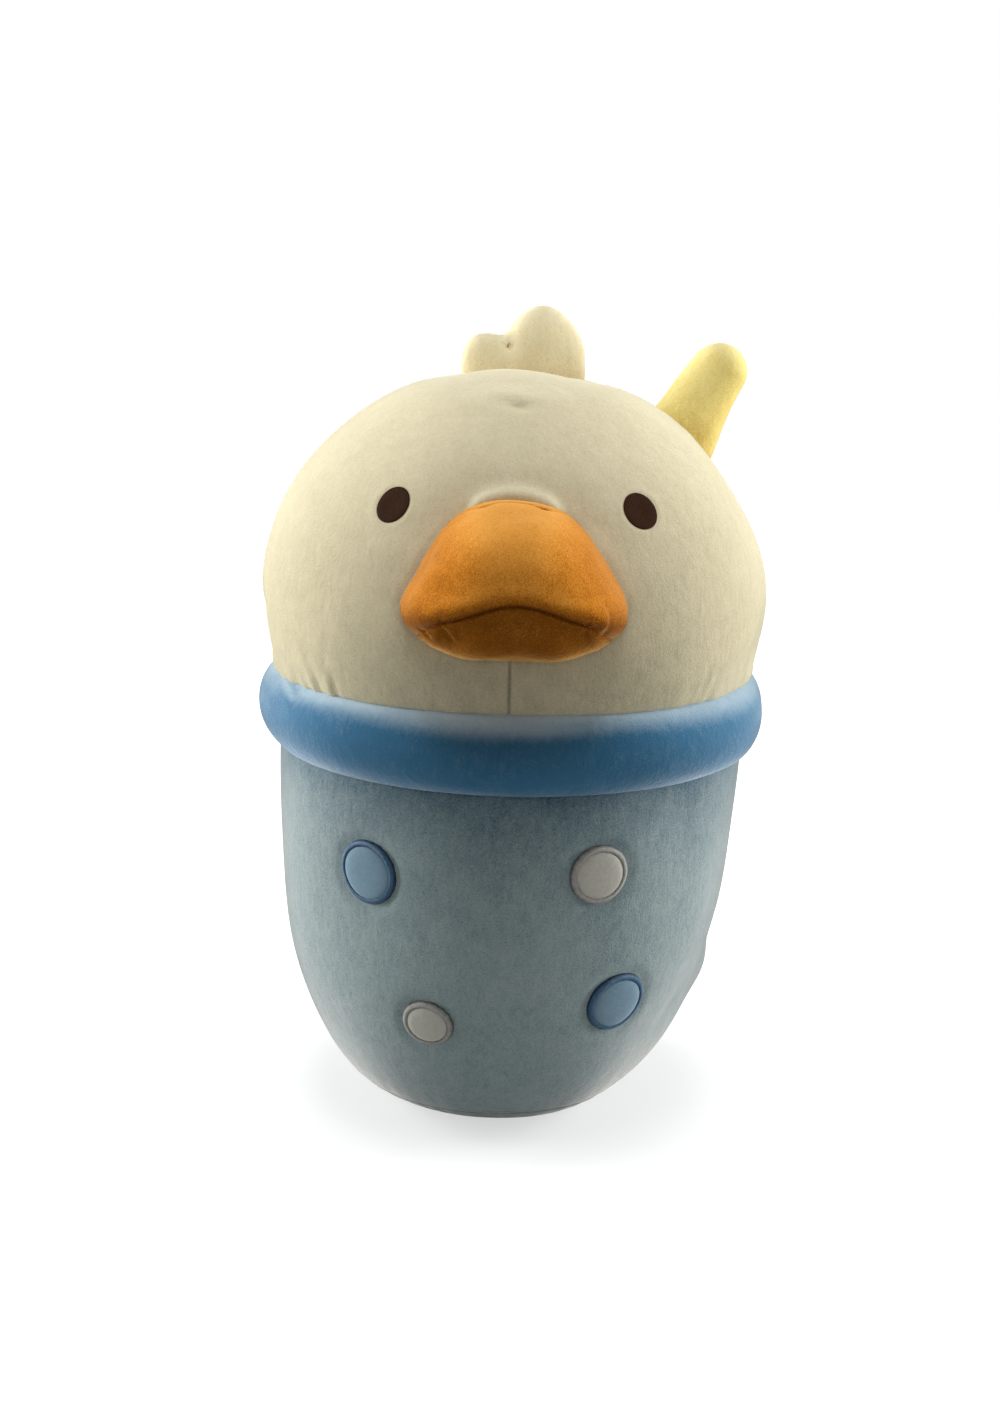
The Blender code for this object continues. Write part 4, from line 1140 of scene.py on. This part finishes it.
def makeBill():
    angles = roundAngles(bill["columns"], np.ones_like)
    last = math.pi / 2
    fronts = crowded(0, last, bill["rows"], lambda front: 1 + 0.4 * bell(front - 1.0, 0.5))
    coarseRows, coarseColumns = bill["coarse"]
    coarse = billPoints(roundAngles(coarseColumns, np.ones_like), np.linspace(0, last, coarseRows))
    pinned = np.zeros(coarse.shape[:2], bool)
    pinned[-2:] = True
    pinned |= np.abs(coarse[..., 2] - mouthAt(coarse[..., 0])) < 2 * mm
    movement = swell("bill bag", coarse, pinned, bill["sim"], (True, False))
    points = billPoints(angles, fronts)
    points = points + carried(movement, fronts / last, np.arange(bill["columns"]) / bill["columns"])
    relief, creaseAndPaintedShade = billRelief(points)
    points = raisedBy(points, relief)
    # painted light: the bill's top is painted lighter and its flanks darker
    facing = gridNormals(points)
    napAndPaintedLight = facing[..., 2] - 0.7 * softStep(np.abs(facing[..., 0]), 0.2, 0.9)
    whole = clothBag("bill_top_cloth", points, creaseAndPaintedShade, (True, False), napAndPaintedLight)
    surface = copyOf(whole, "bill surface")
    byMouth(whole, -1)  # so that a level plane cuts along the mouth seam
    lip = cutInTwo(whole, "bill_lip_cloth", (0, 0, 0), (0, 0, -1))
    for panel, look, solid in ((whole, "bill", "bill_upper_panel"), (lip, "lip", "bill_lower_panel")):
        byMouth(panel, 1)
        clothPanel(panel, look, solid)
    inner = insideOf(points)[::3, ::3]
    stuffing("bill_stuffing", np.concatenate([inner, lid(inner[-1:])]), "bill_filling")
    print("bill made")
    return surface


# A thread along a path: a round section carried along it and drawn in to a point at both ends
def thread(name, path, radius):
    path = np.asarray(path)
    forward = np.gradient(path, axis=0)
    forward /= np.linalg.norm(forward, axis=1)[:, None]
    side = np.cross(forward, (0.3, 0.9, 0.3))
    side /= np.linalg.norm(side, axis=1)[:, None]
    upward = np.cross(side, forward)
    share = np.linspace(0, 1, len(path))
    width = radius * np.sqrt(np.sin(math.pi * share).clip(0))
    turn = np.linspace(0, tau, 12, endpoint=False)
    rings = side[:, None] * np.cos(turn)[None, :, None] + upward[:, None] * np.sin(turn)[None, :, None]
    return gridPiece(name, path[:, None] + rings * width[:, None, None], (True, True))[0]


def makeNostrils(surface):
    above = 325 * mm  # a level over the bill, from which each tack is dropped on to it
    for (across, _), name in zip(bill["pins"], ("left_nostril", "right_nostril")):
        share, level = np.linspace(-1, 1, 22), np.ones(22)
        path = np.stack([across + 1.1 * mm * share, bill["pinDepth"] * level, above * level], axis=1)
        tack = thread(name + "_tack", path, 0.4 * mm)
        coords = coordsOf(tack.data)
        heights = coords[:, 2] - above
        coords[:, 2] = above
        setCoords(tack.data, coords)
        layOn(tack, surface, Matrix.Identity(4), heights + 0.35 * mm)
        dress(tack, looks["shadedBillThread"], "toy", name + "_stitch")
    bpy.data.objects.remove(surface, do_unlink=True)
    print("nostrils made")


tuft = {
    "pivot": (0, 41.825 * mm, 356.91 * mm),
    "middle": (1.5, 3.5),  # across and up from the pivot, in mm, as the outline is
    "outline": (
        (-28, -9), (-29.2, -3), (-29.3, 3), (-28.2, 8.5), (-25.8, 12.8), (-22, 15.6), (-16, 16.5), (-10.4, 16.6),
        (-6.2, 18.9), (-2, 23.8), (3, 27.9), (9.5, 30.2), (16, 29.5), (21.2, 26.8), (25.4, 21.8), (28.8, 15.6),
        (30.8, 9.2), (31.4, 2), (31.8, -5), (30.5, -12), (22, -15.5), (10, -16.5), (-4, -16.5), (-18, -14.5),
    ),
    "tack": (-6.2, 10.9),
    "halfDepth": 8.6 * mm,
    "fillRoom": 2.6 * mm,
    "columns": 170,
    "rows": 90,
}


# The tuft's outline from its middle: a smooth closed curve through its points, walked in even steps
def tuftOutline():
    corners = (np.array(tuft["outline"]) - tuft["middle"]) * mm
    fine = between(corners, np.linspace(0, len(corners), 2000), 0, True)
    length = np.concatenate([[0], np.cumsum(np.linalg.norm(np.diff(fine, axis=0), axis=1))])
    even = np.linspace(0, length[-1], tuft["columns"], endpoint=False)
    return np.stack([np.interp(even, length, fine[:, k]) for k in (0, 1)], axis=1)


def makeTuft():
    outline = tuftOutline()
    turns = np.linspace(0, math.pi, tuft["rows"])
    share = np.sin(turns)[:, None] ** 0.75
    px, py, pz = tuft["pivot"]
    x = px + tuft["middle"][0] * mm + share * outline[:, 0]
    z = pz + tuft["middle"][1] * mm + share * outline[:, 1]
    y = py - tuft["halfDepth"] * np.cos(turns)[:, None] * np.ones_like(x)
    points = np.stack([x, y, z], axis=-1)
    flat = points * (1, 0, 1)
    tackX, tackZ = px + tuft["tack"][0] * mm, pz + tuft["tack"][1] * mm
    start, end = (tackX / mm - 2, 0, tackZ / mm + 11), (tackX / mm + 1.5, 0, tackZ / mm - 13)
    valley = fold(flat, start, end, 3.6 * mm, 1)
    tack = np.linalg.norm(flat - np.array((tackX, 0, tackZ)), axis=-1)
    isFront = y < py
    relief = -1.0 * mm * valley - 0.9 * mm * bell(tack, 1.6 * mm) * isFront - 0.7 * mm * bell(tack, 5 * mm)
    seam = bell(y - py, 0.9 * mm)
    relief += 0.3 * mm * waves(points, 22 * mm, 61) - 0.5 * mm * seam
    relief += 0.15 * mm * waves(flat, 5 * mm, 62) * np.exp(-np.abs(y - py) / (3 * mm)) * (1 - seam)
    points = raisedBy(points, relief)
    floorZ = domeHeight(points[..., 0], points[..., 1]) - 0.6 * mm
    points[..., 2] = np.maximum(points[..., 2], floorZ)
    # painted shade at the root, in the seam and at the tack
    shadeAtRoot = 0.3 * np.exp(-(points[..., 2] - floorZ) / (9 * mm))
    creaseAndPaintedShade = shadeAtRoot + 0.5 * seam + 0.35 * bell(tack, 1.8 * mm) * isFront
    whole = clothBag("tuft_front_cloth", points, creaseAndPaintedShade, (True, True))
    back = cutInTwo(whole, "tuft_back_cloth", (0, py, 0), (0, 1, 0))
    bend = ("tuft", (0, py, pz - 4 * mm), (0, py, pz + 10 * mm))
    clothPanel(whole, "tuft", "tuft_front_panel", bend)
    clothPanel(back, "tuft", "tuft_back_panel", bend)
    inner = insideOf(points, tuft["fillRoom"])
    inner[..., 2] = np.maximum(inner[..., 2], domeHeight(inner[..., 0], inner[..., 1]) + tuft["fillRoom"])
    rows = np.r_[0 : len(inner) - 2 : 3, len(inner) - 1]
    stuffing("tuft_stuffing", inner[rows][:, ::3], "tuft_filling", bend)
    share = np.linspace(-1, 1, 22)
    front = points[: tuft["rows"] // 2].reshape(-1, 3)
    near = front[np.argmin(np.linalg.norm(front[:, [0, 2]] - np.array((tackX, tackZ)), axis=1))]
    depth = near[1] - 0.3 * mm * (1 - share**2)
    path = np.stack([tackX + 0.4 * mm * share, depth, tackZ + 1.3 * mm * share], axis=1)
    stitch = thread("tuft_tack", path, 0.35 * mm)
    dress(stitch, looks["creamThread"], "tuft", "tuft_stitch")
    print("tuft made")


straw = {
    "pivot": (86.289 * mm, 58.04 * mm, 326.604 * mm),
    "root": (81.5 * mm, 56.5 * mm, 326 * mm),  # where its middle comes out of the head
    "tip": (99.6 * mm, 62 * mm, 356.6 * mm),  # the middle of its round end
    "radius": 14.4 * mm,
    "flare": 4.3 * mm,  # how much wider the root is
    "flarePower": 1.2,
    "capRows": 0.32,
    "columns": 110,
    "rows": 110,
}


def makeStraw():
    root, pivot = np.array(straw["root"]), np.array(straw["pivot"])
    lean = np.array(straw["tip"]) - root
    length = np.linalg.norm(lean)
    lean /= length
    side = np.cross((0, 0, 1), lean)
    side /= np.linalg.norm(side)
    upward = np.cross(lean, side)
    angles = roundAngles(straw["columns"], np.ones_like)
    around = side * np.cos(angles)[:, None] + upward * np.sin(angles)[:, None]

    def width(along):
        return straw["radius"] + straw["flare"] * (1 - along / length).clip(0, 1.6) ** straw["flarePower"]

    low, high = np.full(len(angles), -30 * mm), np.full(len(angles), 20 * mm)
    for _ in range(30):  # where each side of the tube comes down on the head, found by halving
        middle = (low + high) / 2
        foot = root + lean * middle[:, None] + around * width(middle)[:, None]
        isOver = foot[:, 2] > domeHeight(foot[:, 0], foot[:, 1]) - 0.8 * mm
        low, high = np.where(isOver, low, middle), np.where(isOver, middle, high)
    share = np.linspace(0, 1, straw["rows"])[:, None]
    cap = np.clip(share / straw["capRows"], 0, 1) * math.pi / 2
    down = np.clip((share - straw["capRows"]) / (1 - straw["capRows"]), 0, 1)
    height = length + straw["radius"] * np.cos(cap) + (high - length) * down
    points = root + lean * height[..., None] + around * (width(height) * np.sin(cap))[..., None]
    seam = bell(np.abs(angles) * straw["radius"], 1.2 * mm) * np.ones_like(height)
    relief = 0.4 * mm * waves(points, 26 * mm, 71) - 0.6 * mm * seam
    foot = np.exp(-(height - high) / (6 * mm))
    ring = np.stack([angles * straw["radius"], np.zeros_like(angles)], axis=-1)
    relief += 0.4 * mm * waves(ring, 7 * mm, 72) * foot - 0.7 * mm * bell(height - high, 2 * mm)
    relief += 0.2 * mm * waves(points, 6 * mm, 73) * bell(angles * straw["radius"], 5 * mm)
    points = raisedBy(points, relief)
    # painted shade in the seam and towards the root, where the head shades the straw
    creaseAndPaintedShade = 0.4 * seam + 0.45 * np.exp(-(height - high) / (15 * mm))
    cover = clothBag("straw_cloth", points, creaseAndPaintedShade, (True, False))
    bend = ("straw", pivot - lean * 10 * mm, pivot + lean * 12 * mm)
    clothPanel(cover, "straw", "straw_cover", bend)
    inner = insideOf(points)[::3, ::3]
    inner = inner + lean * (-6 * mm - (inner - pivot) @ lean).clip(0)[..., None]
    stuffing("straw_stuffing", np.concatenate([inner, lid(inner[-1:])]), "straw_filling", bend)
    print("straw made")


makeRim()
cupSurface = makeCup()
makeDots(cupSurface)
faceSurface = makeHead()
makeEyes(faceSurface)
billSurface = makeBill()
makeNostrils(billSurface)
makeTuft()
makeStraw()

view = {
    "place": (0, -828.2 * mm, 383.7 * mm),
    "aim": (0, 0, 192.5 * mm),
    "lens": 43.82,
    "filmHeight": 36,
    "roll": 1.4,  # the camera was turned by this much, in degrees
    "shift": -0.00842,
}

studio = {
    "room": 0.03,  # strength of the light from all round
    "floorColour": (180, 180, 180),
    "lamps": (
        # name, place, size, power in watts
        ("left softbox", (-1.2, 0.32, 0.34), 0.85, 27),
        ("right softbox", (1.2, 0.32, 0.34), 0.85, 25),
        ("overhead softbox", (0, -0.25, 0.9), 0.45, 3.1),
        ("front softbox", (0.1, -1.0, 0.4), 0.7, 0.9),
        ("back softbox", (0, 0.9, 1.2), 0.8, 2),
    ),
    "aim": (0, 0, 0.2),
}


def makeCamera():
    camera = bpy.data.objects.new("camera", bpy.data.cameras.new("camera"))
    bpy.context.scene.collection.objects.link(camera)
    look = (Vector(view["aim"]) - Vector(view["place"])).to_track_quat("-Z", "Y").to_matrix().to_4x4()
    roll = Matrix.Rotation(math.radians(view["roll"]), 4, "Z")
    camera.matrix_world = Matrix.Translation(view["place"]) @ look @ roll
    camera.data.sensor_fit = "VERTICAL"
    camera.data.sensor_height = view["filmHeight"]
    camera.data.lens = view["lens"]
    camera.data.shift_x = view["shift"]
    bpy.context.scene.camera = camera


def makeLights():
    for name, place, size, power in studio["lamps"]:
        lamp = bpy.data.objects.new(name, bpy.data.lights.new(name, "AREA"))
        bpy.context.scene.collection.objects.link(lamp)
        lamp.data.shape = "SQUARE"
        lamp.data.size = size
        lamp.data.energy = power
        lamp.location = place
        lamp.rotation_mode = "QUATERNION"
        lamp.rotation_quaternion = (Vector(studio["aim"]) - Vector(place)).to_track_quat("-Z", "Y")
        lamp.visible_camera = False
    world = bpy.data.worlds.new("studio")
    bpy.context.scene.world = world
    world.use_nodes = True
    tree = world.node_tree
    ray = shaderNode(tree, "LightPath")
    seen = sums(tree, "MAXIMUM", ray.outputs["Is Camera Ray"], ray.outputs["Is Glossy Ray"])
    seen = sums(tree, "MAXIMUM", seen, ray.outputs["Is Transmission Ray"])
    strength = sums(tree, "MULTIPLY_ADD", seen, 1 - studio["room"], studio["room"])
    background = tree.nodes["Background"]
    background.inputs["Color"].default_value = (1, 1, 1, 1)
    tree.links.new(strength, background.inputs["Strength"])


# The floor is pale where the camera sees it and keeps the toy's shadow; far from the toy it fades to white
def makeFloor():
    data = bpy.data.meshes.new("studio floor")
    half = 6
    corners = [(-half, -half, 0), (half, -half, 0), (half, half, 0), (-half, half, 0)]
    data.from_pydata(corners, [], [(0, 1, 2, 3)])
    floor = bpy.data.objects.new("studio floor", data)
    bpy.context.scene.collection.objects.link(floor)
    floor.location.z = -0.2 * mm
    look = bpy.data.materials.new("studio floor")
    look.use_nodes = True
    tree = look.node_tree
    shader = tree.nodes["Principled BSDF"]
    shader.inputs["Roughness"].default_value = 1
    shader.inputs["Specular IOR Level"].default_value = 0
    shader.inputs["Base Color"].default_value = linear(studio["floorColour"])
    ray = shaderNode(tree, "LightPath").outputs["Is Camera Ray"]
    place = shaderNode(tree, "TexCoord").outputs["Object"]
    away = shaderNode(tree, "VectorMath", {0: place}, operation="LENGTH").outputs["Value"]
    reach = {"Value": away, "From Min": 0.09, "From Max": 0.2, "To Min": 0.6, "To Max": 1.0}
    fade = shaderNode(tree, "MapRange", reach)
    glow = sums(tree, "MULTIPLY", fade.outputs[0], ray)
    shader.inputs["Emission Color"].default_value = (1, 1, 1, 1)
    tree.links.new(glow, shader.inputs["Emission Strength"])
    data.materials.append(look)


makeCamera()
makeLights()
makeFloor()
bpy.context.scene.view_settings.view_transform = "Standard"
print("studio made")
